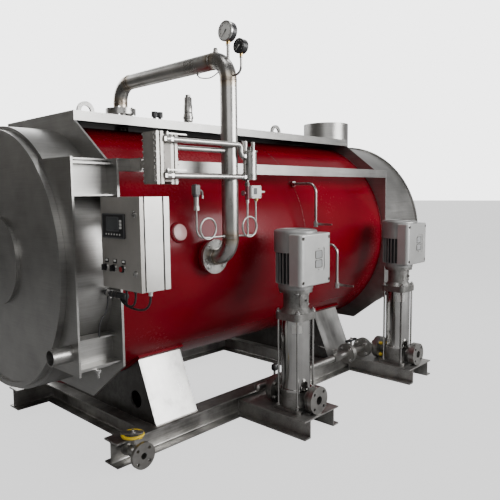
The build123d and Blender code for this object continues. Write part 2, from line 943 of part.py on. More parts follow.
def transmitter():
    x = transmitter_x
    sleeve_low = transmitter_bottom + transmitter_nut_height
    head_low = sleeve_low + transmitter_sleeve_height
    head_top = head_low + transmitter_head_height
    half = transmitter_head / 2
    body = hex_z(stem_radius * 1.9, x, column_y, transmitter_bottom, sleeve_low)
    body += rod_z(stem_radius * 1.7, x, column_y, sleeve_low, head_low)
    head = block(x - half, x + half, column_y - half, column_y + half, head_low, head_top)
    body += fillet(head.edges().filter_by(Axis.Z), half / 3)
    middle = (head_low + head_top) / 2
    body += rod_x(stem_radius, x, x + half + stem_radius, column_y, middle)
    hook = [(x, column_y, middle), (x + transmitter_hook, column_y, middle)]
    hook += [(x + transmitter_hook, column_y, middle - transmitter_hook)]
    return body + bent_rod(hook, stem_radius * 2, siphon_radius)


def gauge(y, z, radius, depth):
    half = depth / 2
    case = rod_x(radius, column_x - half, column_x + half, y, z)
    case -= rod_x(radius * 0.92, column_x - half, column_x - half + depth / 10, y, z)
    return case


def gauges():
    large = gauge(column_y, gauge_height, gauge_radius, gauge_depth)
    small = gauge(column_y - gauge_small_reach, gauge_small_height, gauge_small_radius, gauge_small_depth)
    return [large, small]


def gauge_stems():
    low = gauge_height - gauge_radius
    upright = rod_z(stem_radius, column_x, column_y, run_height - pipe_bend, low)
    upright += hex_z(gauge_nut_radius, column_x, column_y, low - gauge_nut_height, low)
    small_y = column_y - gauge_small_reach
    small_low = gauge_small_height - gauge_small_radius
    base = run_height - pipe_bend + 20
    route = [(column_x, column_y, base), (column_x, small_y, base), (column_x, small_y, small_low)]
    side = bent_rod(route, stem_bend, stem_radius * 0.75)
    side += hex_z(gauge_nut_radius * 0.8, column_x, small_y, small_low - gauge_nut_height, small_low)
    corners = [(column_x, riser_y, run_height), (column_x, column_y, run_height)]
    corners += [(column_x, column_y, nozzle_height)]
    pipe = bent_rod(corners, pipe_bend, pipe_radius + seat)
    stems = []
    for stem in (upright - pipe, side - pipe):
        stems.append(stem.solids().sort_by(Axis.Z)[-1])
    return stems


def cabinet_box(x0, x1, inset):
    return block(x0, x1, cabinet_near + inset, cabinet_far - inset, cabinet_bottom + inset,
                 cabinet_top - inset)


def cabinet_body():
    sheet = cabinet_sheet
    tray = cabinet_back - cabinet_tray_depth
    groove = tray - cabinet_groove_width
    neck = cabinet_groove_depth
    body = cabinet_box(cabinet_front, groove, 0)
    body += cabinet_box(groove, tray, neck)
    body += cabinet_box(tray, cabinet_back, 0)
    body -= cabinet_box(cabinet_front + sheet, groove - sheet, sheet)
    body -= cabinet_box(groove - sheet, tray + sheet, neck + sheet)
    body -= cabinet_box(tray + sheet, cabinet_back - sheet, sheet)
    body -= cabinet_box(cabinet_front, cabinet_front + sheet, cabinet_lip)
    for level in hinge_levels():
        body += hinge_half(level, cabinet_front + hinge_leaf_reach)
    return body


def hinge_levels():
    return [cabinet_bottom + 0.16 * cabinet_height, cabinet_bottom + 0.78 * cabinet_height]


def hinge_half(bottom, leaf_x):
    knuckle = rod_z(hinge_radius, hinge_x, hinge_y, bottom, bottom + hinge_length)
    x0, x1 = sorted((hinge_x, leaf_x))
    leaf = block(x0, x1, cabinet_far, cabinet_far + hinge_leaf, bottom, bottom + hinge_length)
    link = block(hinge_x - hinge_radius / 2, hinge_x + hinge_radius / 2, cabinet_far, hinge_y, bottom,
                 bottom + hinge_length)
    if leaf_x < hinge_x:
        link = block(hinge_x - hinge_radius, hinge_x, cabinet_far, hinge_y, bottom, bottom + hinge_length)
    return knuckle + leaf + link


def cabinet_door():
    outer = block(door_front, door_back, cabinet_near, cabinet_far, cabinet_bottom, cabinet_top)
    sheet = door_sheet
    inner = block(door_front + sheet, door_back, cabinet_near + sheet, cabinet_far - sheet,
                  cabinet_bottom + sheet, cabinet_top - sheet)
    door = outer - inner
    for level in hinge_levels():
        door += hinge_half(level + hinge_length + seat, door_back - hinge_leaf_reach)
    return door


def selector(y, z):
    width, height = knob_grip
    ring = rod_x(knob_base_radius, door_front - knob_base_depth, door_front, y, z)
    grip = Box(knob_depth, width, height)
    return ring + Pos(door_front - knob_depth / 2, y, z) * grip


def cabinet_controls():
    top = cabinet_top - display_drop
    near = cabinet_far - display_inset - display_width
    screen = block(door_front - display_depth, door_front, near, near + display_width,
                   top - display_height, top)
    pieces = [fillet(screen.edges().filter_by(Axis.X), display_depth)]
    knob_height = cabinet_bottom + knob_rise
    for inset in knob_insets:
        pieces.append(selector(cabinet_far - inset, knob_height))
    button_y = cabinet_far - button_inset
    button = rod_x(knob_base_radius, door_front - knob_base_depth, door_front, button_y, knob_height)
    pieces.append(button + rod_x(button_radius, door_front - button_depth, door_front, button_y, knob_height))
    lock_y = cabinet_near + lock_inset
    for height in (cabinet_top - lock_upper_drop, cabinet_bottom + lock_lower_rise):
        pieces.append(rod_x(lock_radius, door_front - lock_depth, door_front, lock_y, height))
    return pieces


def cabinet_bars():
    bars = []
    for height in (cabinet_bottom + bar_from_edge, cabinet_top - bar_from_edge):
        bars.append(block(cabinet_back, cabinet_back + bar_thickness, cabinet_near + bar_from_side,
                          -ear_half_width + bar_overlap, height - bar_width / 2, height + bar_width / 2))
    return bars


def gland_x():
    return (cabinet_front + cabinet_back - cabinet_tray_depth) / 2


def cable_glands():
    glands = []
    for inset in gland_insets:
        y = cabinet_far - inset
        nut_low = cabinet_bottom - gland_nut_height
        gland = hex_z(gland_radius, gland_x(), y, nut_low, cabinet_bottom)
        gland += rod_z(gland_radius * 0.75, gland_x(), y, cabinet_bottom - gland_length, nut_low)
        glands.append(gland)
    return glands


def cable_bundle():
    z = bundle_height
    bundle = rod_y(bundle_radius, bundle_x, bundle_near, bundle_near + bundle_length, z)
    clip = -ear_half_width + clip_width / 2
    half = bundle_radius / 2
    return bundle + block(bundle_x, front_face, clip, clip + clip_width, z - half, z + half)


def cable_leads():
    leads = cable_bundle()
    start = cabinet_bottom - gland_length
    for index, inset in enumerate(gland_insets):
        y = cabinet_far - inset
        low = start - lead_sag - index * lead_sag_step
        end = -ear_half_width - bundle_ends[index]
        route = [(gland_x(), y, start), (gland_x(), y, low)]
        route += [(bundle_x, end, low), (bundle_x, end, bundle_height)]
        leads += bent_rod(route, lead_bend, lead_radius)
    turn = (bundle_height + arm_lower_shelves[-1][0]) / 2
    shelf = arm_lower_shelves[-1][0] + arm_sheet
    side = bundle_x - earth_lead_step
    route = [(bundle_x, earth_lead_y, bundle_height), (bundle_x, earth_lead_y, turn + lead_bend)]
    route += [(side, earth_lead_y, turn - lead_bend), (side, earth_lead_y, shelf)]
    return leads + bent_rod(route, lead_bend, earth_lead_radius)


def pump_bracket(x):
    left = x + bracket_shift - bracket_width / 2
    right = left + bracket_width
    sheet = bracket_plate
    web_left = left + bracket_foot
    web_right = right - bracket_foot
    under = bracket_top - sheet
    hat = [(left, bracket_top), (left, under), (web_left, under), (web_left, beam_flange)]
    hat += [(web_left + sheet, beam_flange), (web_left + sheet, under)]
    hat += [(web_right - sheet, under), (web_right - sheet, beam_flange), (web_right, beam_flange)]
    hat += [(web_right, under), (right, under), (right, bracket_top)]
    bracket = prism_y(hat, -bracket_end, -bracket_back)
    feet_end = -beam_outer
    bracket += block(left, web_left + sheet, -bracket_end, feet_end, 0, beam_flange)
    return bracket + block(web_right - sheet, right, -bracket_end, feet_end, 0, beam_flange)


def pump_base(x):
    low = bracket_top
    half = foot_size / 2
    foot = block(x - half, x + half, pump_y - half, pump_y + half, low, low + foot_thickness)
    foot = fillet(foot.edges().filter_by(Axis.Z), foot_size / 8)
    base = foot + rod_z(base_radius, x, pump_y, low, low + base_height)
    z = pump_port_height
    base += rod_y(port_radius, x, pump_y - port_half, pump_y + port_half, z)
    ends = port_half - port_flange_thickness
    for side in (-1, 1):
        y0, y1 = sorted((pump_y + side * ends, pump_y + side * port_half))
        base += flange_y(x, z, y0, y1, port_flange_radius, port_radius - 8, port_bolt_circle, port_bolt_hole)
    return base - rod_y(port_bore_radius, x, pump_y - port_half, pump_y + port_half, z)


def counter_flange(x, side):
    y0, y1 = sorted((pump_y + side * port_half, pump_y + side * (port_half + counter_flange_thickness)))
    return flange_y(x, pump_port_height, y0, y1, port_flange_radius, port_bore_radius, port_bolt_circle,
                    port_bolt_hole)


def barrel_low():
    return bracket_top + base_height


def barrel_high():
    return barrel_low() + barrel_height


def pump_barrel(x):
    low = barrel_low()
    ring = rod_z(barrel_ring_radius, x, pump_y, low, low + barrel_ring_height)
    return ring + rod_z(barrel_radius, x, pump_y, low, barrel_high())


def stay_bolts(x):
    reach = stay_circle / sqrt(2)
    bolts = []
    for side_x in (-1, 1):
        for side_y in (-1, 1):
            bolts.append(rod_z(stay_radius, x + side_x * reach, pump_y + side_y * reach,
                               bracket_top + foot_thickness, barrel_high()))
    return bolts


def pump_head(x):
    low = barrel_high()
    half = head_size / 2
    plate = block(x - half, x + half, pump_y - half, pump_y + half, low, low + head_thickness)
    head = fillet(plate.edges().filter_by(Axis.Z), head_corner)
    flare = low + head_thickness
    cone = Cone(stool_flare_radius, stool_radius, stool_flare_height)
    head += Pos(x, pump_y, flare + stool_flare_height / 2) * cone
    stool = flare + stool_flare_height
    head += rod_z(stool_radius, x, pump_y, stool, stool + stool_height)
    middle = stool + stool_height / 2
    window = Box(stool_window_width, stool_window_depth, stool_window_height)
    head -= Pos(x, pump_y + stool_radius - stool_window_depth / 2, middle) * window
    guard = rod_z(stool_radius + guard_sheet, x, pump_y, middle - guard_height / 2, middle + guard_height / 2)
    front = pump_y - stool_radius - guard_sheet
    half = guard_width / 2
    head += guard & block(x - half, x + half, front, pump_y, stool, stool + stool_height)
    head += rod_y(guard_plug_radius, x, front - guard_plug_length, pump_y, middle)
    top = stool + stool_height
    return head + rod_z(stool_flange_radius, x, pump_y, top, top + stool_flange_height)


def motor_low():
    return barrel_high() + head_thickness + stool_flare_height + stool_height + stool_flange_height


def pump_motor(x):
    low = motor_low()
    core = rod_z(motor_core_radius, x, pump_y, low, low + motor_height)
    depth = motor_fin_radius - motor_core_radius
    fin_low = low + motor_flange_height
    fin = Box(2 * depth, fin_thickness, motor_height - motor_flange_height)
    middle = (fin_low + low + motor_height) / 2
    for number in range(fin_count):
        turn = 360 * number / fin_count
        core += Pos(x, pump_y, middle) * Rot(0, 0, turn) * Pos(motor_core_radius, 0, 0) * fin
    cowl = Cylinder(cowl_radius, cowl_height)
    cowl = fillet(cowl.edges().filter_by(GeomType.CIRCLE).sort_by(Axis.Z)[-1], cowl_edge)
    return core + Pos(x, pump_y, low + motor_height + cowl_height / 2) * cowl


def pump_converter(x):
    low = motor_low() + converter_lift
    high = low + converter_height
    left = x + converter_shift - converter_width / 2
    right = left + converter_width
    front = pump_y - converter_reach
    box = block(left, right, front, front + converter_depth, low, high)
    box = fillet(box.edges().filter_by(Axis.Z).group_by(Axis.Y)[0], converter_corner)
    box = fillet(box.faces().sort_by(Axis.Y)[0].edges().filter_by(Axis.X), converter_edge)
    middle = (left + right) / 2 + panel_shift
    half = panel_width / 2
    panel_low = (low + high - panel_height) / 2
    panel = block(middle - half, middle + half, front, front + panel_depth, panel_low,
                  panel_low + panel_height)
    box -= fillet(panel.edges().filter_by(Axis.Y), panel_corner)
    for screw_x in (left + screw_inset, right - screw_inset):
        for screw_z in (low + screw_inset, high - screw_inset):
            box -= rod_y(screw_recess_radius, screw_x, front, front + screw_recess_depth, screw_z)
    return box - rod_z(cowl_radius + seat, x, pump_y, low, high)


def header_lever():
    base = header_height + tap_valve_stem
    tip = base + header_lever_rise
    end = tap_valve_x - header_lever_length
    under = header_lever_thickness
    back = tap_valve_x + header_lever_width
    bend = tap_valve_x - header_lever_width
    outline = [(back, base - under), (back, base), (bend, base)]
    outline += [(end, tip), (end, tip - under), (bend, base - under)]
    half = header_lever_width / 2
    return prism_y(outline, header_y - half, header_y + half)


def feed_header():
    z = header_height
    y = header_y
    first, last = pump_x
    start = pump_y + port_half + counter_flange_thickness
    route = [(last, start, z), (last, y, z), (header_end_x, y, z)]
    pipe = bent_rod(route, header_bend, header_radius)
    pipe += Pos(header_end_x, y, z) * Sphere(header_radius)
    pipe += rod_y(header_radius, first, start, y, z)
    for x in pump_x:
        pipe += rod_y(header_neck_radius, x, start, start + header_neck_length, z)
    bore = header_radius - header_wall
    for x in header_pairs_x:
        for side in (-1, 1):
            x0, x1 = sorted((x, x + side * header_flange_thickness))
            pipe += flange_x(y, z, x0, x1, header_flange_radius, bore, header_bolt_circle, header_bolt_hole)
    pipe += Pos(valve_x, y, z) * Sphere(valve_ball_radius)
    pipe += rod_x(valve_neck_radius, valve_x - valve_neck_half, valve_x + valve_neck_half, y, z)
    pipe += rod_z(valve_stem_radius, valve_x, y, z, z + feed_handle_height)
    pipe += hex_x(tap_valve_radius, tap_valve_x - tap_valve_half, tap_valve_x + tap_valve_half, y, z)
    pipe += rod_z(valve_stem_radius, tap_valve_x, y, z, z + tap_valve_stem)
    pipe += header_lever()
    pipe += rod_z(vent_stem_radius, vent_x, y, z, z + vent_height)
    return pipe + Pos(vent_x, y, z + vent_height) * Sphere(vent_ball_radius)


def feed_valve_handle():
    low = header_height + feed_handle_height
    half = feed_handle_length / 2
    side = feed_handle_width / 2
    top = low + feed_handle_thickness
    bar = block(valve_x - half, valve_x + half, header_y - side, header_y + side, low, top)
    return fillet(bar.edges().filter_by(Axis.Z), feed_handle_width / 3)


def drain_line():
    z = drain_height
    face = drain_face_y
    x = drain_x
    top = axis_height - shell_radius / 2
    route = [(x, face + drain_flange_thickness / 2, z), (x, drain_channel_y, z)]
    route += [(drain_rise_x, drain_channel_y, z), (drain_rise_x, drain_rise_y, z)]
    route += [(drain_rise_x, drain_rise_y, top)]
    line = bent_rod(route, drain_bend, drain_pipe_radius)
    reach = 3 * drain_pipe_radius
    line -= rod_x(shell_radius + seat, drain_rise_x - reach, drain_rise_x + reach, 0, axis_height)
    line += flange_y(x, z, face, face + drain_flange_thickness, drain_flange_radius, drain_bore_radius,
                     drain_bolt_circle, drain_bolt_hole)
    line += rod_y(drain_collar_radius, x, drain_collar_y, drain_collar_y + drain_collar_thickness, z)
    line += Pos(x, drain_stem_y, z) * Sphere(drain_body_radius)
    line += rod_z(drain_stem_radius, x, drain_stem_y, z, drain_handle_height)
    return line - rod_y(drain_bore_radius, x, face, face + drain_bore_depth, z)


def drain_valve_handle():
    low = drain_handle_height
    top = low + drain_handle_thickness
    handle = rod_z(drain_handle_radius, drain_x, drain_stem_y, low, top)
    handle = fillet(handle.edges().filter_by(GeomType.CIRCLE), drain_handle_thickness / 4)
    inner = drain_handle_radius - drain_handle_grip
    half = drain_handle_plate / 2
    middle = block(drain_x - half, drain_x + half, drain_stem_y - inner, drain_stem_y + inner, low, top)
    handle -= rod_z(inner, drain_x, drain_stem_y, low, top) - middle
    half = drain_handle_lug / 2
    lug_end = drain_stem_y - drain_handle_radius - half
    third = drain_handle_thickness / 3
    root = drain_stem_y - inner
    return handle + block(drain_x - half, drain_x + half, lug_end, root, low + third, top - third)


def tap_seat(height):
    return -shell_edge(height, shell_radius)


def tap_arm(height):
    return tap_seat(height) - tap_boss_length - tap_reach


def tap_pipe(x, height):
    root = tap_seat(height)
    arm = tap_arm(height)
    boss = rod_y(tap_boss_radius, x, root - tap_boss_length, root / 2, height)
    reach = 2 * tap_boss_radius
    pipe = boss - rod_x(shell_radius + seat, x - reach, x + reach, 0, axis_height)
    low = height - tap_drop
    route = [(x, root - tap_boss_length - 1, height), (x, arm, height), (x, arm, low)]
    pipe += rod_y(tap_pipe_radius, x, root - tap_boss_length - 1, root - tap_boss_length, height)
    pipe += bent_rod(route, tap_bend, tap_pipe_radius)
    pipe += hex_z(tap_nut_radius, x, arm, low - tap_nut_length / 2, low + tap_nut_length / 2)
    stem_end = x + tap_nut_radius + tap_stem_length
    return pipe + rod_x(tap_stem_radius, x, stem_end, arm, low)


def tap_lever(x, height):
    arm = tap_arm(height)
    low = height - tap_drop
    x0 = x + tap_nut_radius + tap_stem_length
    x1 = x0 + tap_lever_thickness
    half = tap_lever_width / 2
    tip = half * tap_lever_taper
    end = arm - tap_lever_length
    outline = [(arm + half, low - half), (arm + half, low + half), (end, low + tip), (end, low - tip)]
    bar = prism_x(outline, x0, x1)
    bar = fillet(bar.edges().filter_by(Axis.X), tip * 0.8)
    return bar + hex_x(tap_lever_nut, x1, x1 + tap_lever_thickness, arm, low)


nodes = {
    "long_beam_near": [long_beam(-1)],
    "long_beam_far": [long_beam(1)],
    "cross_beams": [cross_beam(cross_front_x), cross_beam(cross_rear_x)],
    "saddle_front": [saddle(saddle_front_x)],
    "saddle_rear": [saddle(saddle_rear_x)],
    "saddle_pads": [saddle_pad(saddle_front_x), saddle_pad(saddle_rear_x)],
    "boiler_shell": [boiler_shell()],
    "shell_boss": [shell_boss()],
    "front_tube_plate": [tube_plate(front_inside)],
    "rear_tube_plate": [tube_plate(rear_inside - tube_plate_thickness)],
    "frame_plate_front": [frame_plate(front_face)],
    "frame_plate_rear": [frame_plate(rear_inside)],
    "top_plate": [top_plate()],
    "side_rails": [side_rail(-1), side_rail(1)],
    "front_drum": [front_drum()],
    "front_ears": [front_ear(-1), front_ear(1)],
    "front_door": [front_door()],
    "front_arms": [front_arm(side, shelves) for side in (-1, 1)
                   for shelves in (arm_upper_shelves, arm_lower_shelves)],
    "front_stub": [front_stub()],
    "rear_drum": [rear_drum()],
    "rear_cover": [rear_cover()],
    "chimney_collar": [chimney_collar()],
    "lifting_lugs": [lifting_lug(lug_front_x), lifting_lug(lug_rear_x)],
    "top_caps": [top_cap(x) for x in cap_x],
    "safety_valve": [safety_valve()],
    "steam_column": [steam_column()],
    "column_flanges": column_flanges(),
    "water_nozzle": [water_nozzle(), roof_neck()],
    "level_chamber": [level_chamber() + level_bracket()],
    "level_pipes": level_pipes(),
    "level_valves": level_valves(),
    "level_lever_upper": [level_lever(level_upper_height)],
    "level_lever_lower": [level_lever(level_lower_height)],
    "condensate_pot": [condensate_pot()],
    "siphon_tubes": [siphon_right(), siphon_left()],
    "pressure_switch": pressure_switch(),
    "transmitter": [transmitter()],
    "gauges": gauges(),
    "gauge_stems": gauge_stems(),
    "cabinet_body": [cabinet_body()],
    "cabinet_door": [cabinet_door()],
    "cabinet_controls": cabinet_controls(),
    "cabinet_bars": cabinet_bars(),
    "cable_glands": cable_glands(),
    "cable_leads": [cable_leads()],
    "pump_brackets": [pump_bracket(x) for x in pump_x],
    "pump_bases": [pump_base(x) for x in pump_x],
    "counter_flanges": [counter_flange(x, side) for x in pump_x for side in (-1, 1)],
    "pump_barrels": [pump_barrel(x) for x in pump_x],
    "stay_bolts": [bolt for x in pump_x for bolt in stay_bolts(x)],
    "pump_heads": [pump_head(x) for x in pump_x],
    "pump_motors": [pump_motor(x) for x in pump_x],
    "pump_converters": [pump_converter(x) for x in pump_x],
    "feed_header": [feed_header()],
    "feed_valve_handle": [feed_valve_handle()],
    "drain_line": [drain_line()],
    "drain_valve_handle": [drain_valve_handle()],
    "tap_pipes": [tap_pipe(tap_upper_x, tap_upper_height), tap_pipe(tap_lower_x, tap_lower_height)],
    "tap_lever_upper": [tap_lever(tap_upper_x, tap_upper_height)],
    "tap_lever_lower": [tap_lever(tap_lower_x, tap_lower_height)],
}

# The origin is the middle of the footprint, at ground level.
pieces = [piece for shapes in nodes.values() for piece in shapes]
boxes = [piece.bounding_box() for piece in pieces]
middle_x = (min(box.min.X for box in boxes) + max(box.max.X for box in boxes)) / 2
middle_y = (min(box.min.Y for box in boxes) + max(box.max.Y for box in boxes)) / 2
ground = min(box.min.Z for box in boxes)

os.makedirs("parts", exist_ok=True)
for name, shapes in nodes.items():
    solids = [solid for shape in shapes for solid in shape.solids()]
    placed = [Pos(-middle_x, -middle_y, -ground) * solid for solid in solids]
    export_step(placed[0] if len(placed) == 1 else Compound(children=placed), f"parts/{name}.step")

print("origin offset", round(middle_x, 3), round(middle_y, 3), round(ground, 3))
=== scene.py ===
import bpy
import bmesh
import math
from mathutils import Matrix, Vector


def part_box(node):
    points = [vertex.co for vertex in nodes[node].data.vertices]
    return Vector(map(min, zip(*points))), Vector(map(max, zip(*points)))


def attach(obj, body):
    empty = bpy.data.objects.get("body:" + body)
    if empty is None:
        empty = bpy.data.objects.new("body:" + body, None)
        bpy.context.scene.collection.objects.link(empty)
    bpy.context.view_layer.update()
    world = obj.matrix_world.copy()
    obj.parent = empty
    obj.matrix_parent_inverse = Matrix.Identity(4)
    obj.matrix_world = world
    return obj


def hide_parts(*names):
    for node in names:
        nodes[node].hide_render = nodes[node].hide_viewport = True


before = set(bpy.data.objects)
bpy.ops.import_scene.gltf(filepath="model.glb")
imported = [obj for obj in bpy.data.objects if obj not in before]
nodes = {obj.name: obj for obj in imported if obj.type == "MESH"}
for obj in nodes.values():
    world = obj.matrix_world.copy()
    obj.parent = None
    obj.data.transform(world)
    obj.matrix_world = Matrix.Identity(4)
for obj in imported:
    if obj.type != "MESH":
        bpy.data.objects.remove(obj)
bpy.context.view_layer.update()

print("frame loaded:", len(nodes), "nodes")

# the CAD is laid out from the front frame plate, the boiler's axis and the ground
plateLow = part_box("frame_plate_front")[0]
shellLow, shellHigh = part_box("boiler_shell")
home = Vector((plateLow.x, (shellLow.y + shellHigh.y) / 2, 0))
perMetre = 1000  # layout millimetres


def at(x, y, z):  # millimetres in the layout to metres in the frame
    return home + Vector((x, y, z)) / perMetre


# places that several pieces share, in layout millimetres
layout = {"axisZ": 1071, "shell": 736, "seamX": 1490, "saddleX": (446, 2081), "saddleHalf": 150,
          "skidTop": 136, "pumpX": (1080, 2328), "pumpY": -974, "portZ": 196, "drain": (107, -666),
          "plug": (363, -911)}
toFront, toRear = (-1, 0, 0), (1, 0, 0)
toNear, toFar = (0, -1, 0), (0, 1, 0)
upward, downward = (0, 0, 1), (0, 0, -1)
signs = (-1, 1)

# camera where the photograph was taken
view = {"place": (-1479.3, -3023.5, 1413.3), "yaw": 46.58, "pitch": -5.86, "roll": -0.6, "lens": 39.83,
        "sensor": 36, "sight": 100}
camera = bpy.data.objects.new("camera", bpy.data.cameras.new("camera"))
bpy.context.collection.objects.link(camera)
yaw, pitch, roll = (math.radians(view[key]) for key in ("yaw", "pitch", "roll"))
ahead = Vector((math.sin(yaw) * math.cos(pitch), math.cos(yaw) * math.cos(pitch), math.sin(pitch)))
level = Vector((math.cos(yaw), -math.sin(yaw), 0))
upright = level.cross(ahead)
right = level * math.cos(roll) + upright * math.sin(roll)
above = upright * math.cos(roll) - level * math.sin(roll)
stance = Matrix((right, above, -ahead)).transposed().to_4x4()
camera.matrix_world = Matrix.Translation(at(*view["place"])) @ stance
camera.data.sensor_width = view["sensor"]
camera.data.lens = view["lens"]
camera.data.clip_end = view["sight"]
bpy.context.scene.camera = camera


class Wire:  # one shader socket: sums and products on it add Math nodes
    def __init__(self, tree, socket=None):
        self.tree = tree
        self.socket = socket

    def node(self, kind, settings=None, sockets=None, out=0):
        made = self.tree.nodes.new(kind)
        for key, value in (settings or {}).items():
            setattr(made, key, value)
        for key, value in (sockets or {}).items():
            if isinstance(value, Wire):
                self.tree.links.new(value.socket, made.inputs[key])
            else:
                made.inputs[key].default_value = value
        return Wire(self.tree, made.outputs[out] if made.outputs else None)

    def math(self, operation, a, b=0.0, clamp=False):
        settings = {"operation": operation, "use_clamp": clamp}
        return self.node("ShaderNodeMath", settings, {0: a, 1: b})

    def __add__(self, other):
        return self.math("ADD", self, other)

    def __sub__(self, other):
        return self.math("SUBTRACT", self, other)

    def __rsub__(self, other):
        return self.math("SUBTRACT", other, self)

    def __mul__(self, other):
        return self.math("MULTIPLY", self, other)

    def __pow__(self, other):
        return self.math("POWER", self, other)

    def __rpow__(self, other):
        return self.math("POWER", other, self)

    def __gt__(self, other):
        return self.math("GREATER_THAN", self, other)

    def __lt__(self, other):
        return self.math("LESS_THAN", self, other)

    __radd__ = __add__
    __rmul__ = __mul__

    def clip(self):
        return self.math("ADD", self, 0.0, True)

    def size(self):
        return self.math("ABSOLUTE", self)

    def lesser(self, other):
        return self.math("MINIMUM", self, other)

    def greater(self, other):
        return self.math("MAXIMUM", self, other)

    def axis(self, name):
        return self.node("ShaderNodeSeparateXYZ", None, {0: self}, name)

    def stretch(self, vector):
        return self.node("ShaderNodeVectorMath", {"operation": "MULTIPLY"}, {0: self, 1: vector})

    def far(self, x, y, z):  # distance in metres from a point given in the layout
        sockets = {0: self, 1: at(x, y, z)}
        return self.node("ShaderNodeVectorMath", {"operation": "DISTANCE"}, sockets, "Value")

    def along(self, name, value):  # metres past a layout coordinate on one axis
        return self.axis(name) - at(value, value, value)["XYZ".index(name)]

    def noise(self, scale, detail=3.0, rough=0.5):
        sockets = {"Vector": self, "Scale": scale, "Detail": detail, "Roughness": rough}
        return self.node("ShaderNodeTexNoise", None, sockets, "Fac")

    def cells(self, scale):
        return self.node("ShaderNodeTexVoronoi", None, {"Vector": self, "Scale": scale}, "Distance")

    def between(self, low, high):  # 0 at low, 1 at high
        return self.node("ShaderNodeMapRange", {"clamp": True}, {0: self, 1: low, 2: high, 3: 0.0, 4: 1.0})

    def mix(self, a, b):  # this value blends colour a into colour b
        return self.node("ShaderNodeMix", {"data_type": "RGBA"}, {0: self, 6: a, 7: b}, 2)


def rgb(r, g, b):
    return (r, g, b, 1.0)


def newFinish(name):
    made = bpy.data.materials.new(name)
    made.use_nodes = True
    made.node_tree.nodes.clear()
    start = Wire(made.node_tree)
    return made, start, start.node("ShaderNodeTexCoord", None, None, "Object")


def closeFinish(start, colour, rough, grain, depth, strength, metal=0.0, **constants):  # depth in metres
    sockets = {"Base Color": colour, "Roughness": rough, "Metallic": metal}
    if strength:
        bump = {"Height": grain, "Distance": depth, "Strength": strength}
        sockets["Normal"] = start.node("ShaderNodeBump", None, bump)
    for key, value in constants.items():
        sockets[key.replace("_", " ")] = value
    shader = start.node("ShaderNodeBsdfPrincipled", None, sockets)
    start.node("ShaderNodeOutputMaterial", None, {"Surface": shader})


# red gloss paint of the shell, with the welded seam that shows through it
redLook = {"deep": rgb(0.090, 0.0007, 0.0042), "bright": rgb(0.165, 0.0014, 0.0080), "rough": 0.25,
           "peel": 90, "seamX": layout["seamX"], "paleMark": rgb(0.50, 0.27, 0.26), "coat": 0.07,
           "coatRough": 0.12, "gloss": 0.08, "depth": 0.0014, "bump": 0.30}


def redTone(place, look):
    cloud = place.noise(1.7, 4)
    dust = place.noise(60, 5, 0.65)
    colour = (cloud * 0.9 + dust * 0.1).between(0.30, 0.70).mix(look["deep"], look["bright"])
    # along the seam, pale dashes and a darker band either side; pale specks over the paint
    seam = (place.along("X", look["seamX"]) + (place.noise(9, 3) - 0.5) * 0.018).size()
    dashes = place.stretch((1, 70, 70)).noise(1.0, 3, 0.7).between(0.50, 0.60)
    colour = (seam.between(0.0030, 0.0018) * dashes * 0.8).mix(colour, look["paleMark"])
    colour = (seam.between(0.016, 0.004) * 0.55).mix(colour, look["deep"])
    speck = place.cells(34).between(0.050, 0.030) * place.noise(5, 2).between(0.58, 0.66) * 0.3
    colour = speck.mix(colour, look["paleMark"])
    rough = look["rough"] + (dust - 0.5) * 0.10 + (cloud - 0.5) * 0.16
    peel = place.noise(look["peel"], 2) * 0.12 + place.noise(5, 2) * 1.6
    return colour, rough, peel


def redPaint(name, look):
    made, start, place = newFinish(name)
    colour, rough, peel = redTone(place, look)
    closeFinish(start, colour, rough, peel, look["depth"], look["bump"], Coat_Weight=look["coat"],
                Coat_Roughness=look["coatRough"], Specular_IOR_Level=look["gloss"])
    return made


# pickled and brushed stainless, in several strengths
plateLook = {"dark": rgb(0.215, 0.211, 0.203), "light": rgb(0.41, 0.404, 0.39), "rough": 0.36, "metal": 0.91,
             "brush": (5, 5, 190), "mottle": 5, "stain": 0.14, "bump": 0.10, "cloud": 0.55}
beamLook = {"dark": rgb(0.15, 0.145, 0.137), "light": rgb(0.47, 0.46, 0.44), "rough": 0.40, "metal": 0.88,
            "brush": (4, 140, 140), "mottle": 6, "stain": 0.45, "bump": 0.25}
saddleLook = {"dark": rgb(0.24, 0.238, 0.23), "light": rgb(0.50, 0.495, 0.48), "rough": 0.33, "metal": 0.92,
              "brush": (36, 4, 4), "mottle": 4.5, "stain": 0.5, "bump": 0.18}
sheetLook = {"dark": rgb(0.44, 0.43, 0.41), "light": rgb(0.70, 0.69, 0.665), "rough": 0.40, "metal": 0.92,
             "brush": (2, 2, 420), "mottle": 3, "stain": 0.06, "bump": 0.05, "grain": 0.35}
# the door's sheet: a darker copy of the cabinet's sheet, as painted shade on the door's face
doorLook = {"dark": rgb(0.36, 0.343, 0.32), "light": rgb(0.54, 0.52, 0.49), "rough": 0.36, "metal": 0.62,
            "brush": (2, 2, 420), "mottle": 3, "stain": 0.06, "bump": 0.05, "grain": 0.35}
fittingLook = {"dark": rgb(0.21, 0.205, 0.195), "light": rgb(0.48, 0.47, 0.45), "rough": 0.30, "metal": 0.94,
               "brush": (50, 50, 50), "mottle": 9, "stain": 0.12, "bump": 0.08}
coverLook = {"dark": rgb(0.25, 0.239, 0.222), "light": rgb(0.40, 0.386, 0.362), "rough": 0.40, "metal": 0.72,
             "brush": (40, 40, 90), "mottle": 10, "stain": 0.10, "bump": 0.07}
pipeLook = {"dark": rgb(0.30, 0.293, 0.28), "light": rgb(0.50, 0.49, 0.47), "rough": 0.31, "metal": 0.95,
            "brush": (40, 40, 5), "mottle": 4, "stain": 0.08, "bump": 0.06}
headerLook = {"dark": rgb(0.17, 0.165, 0.155), "light": rgb(0.42, 0.41, 0.39), "rough": 0.33, "metal": 0.93,
              "brush": (50, 50, 50), "mottle": 8, "stain": 0.08, "bump": 0.04, "grain": 0.4, "cloud": 0.45}
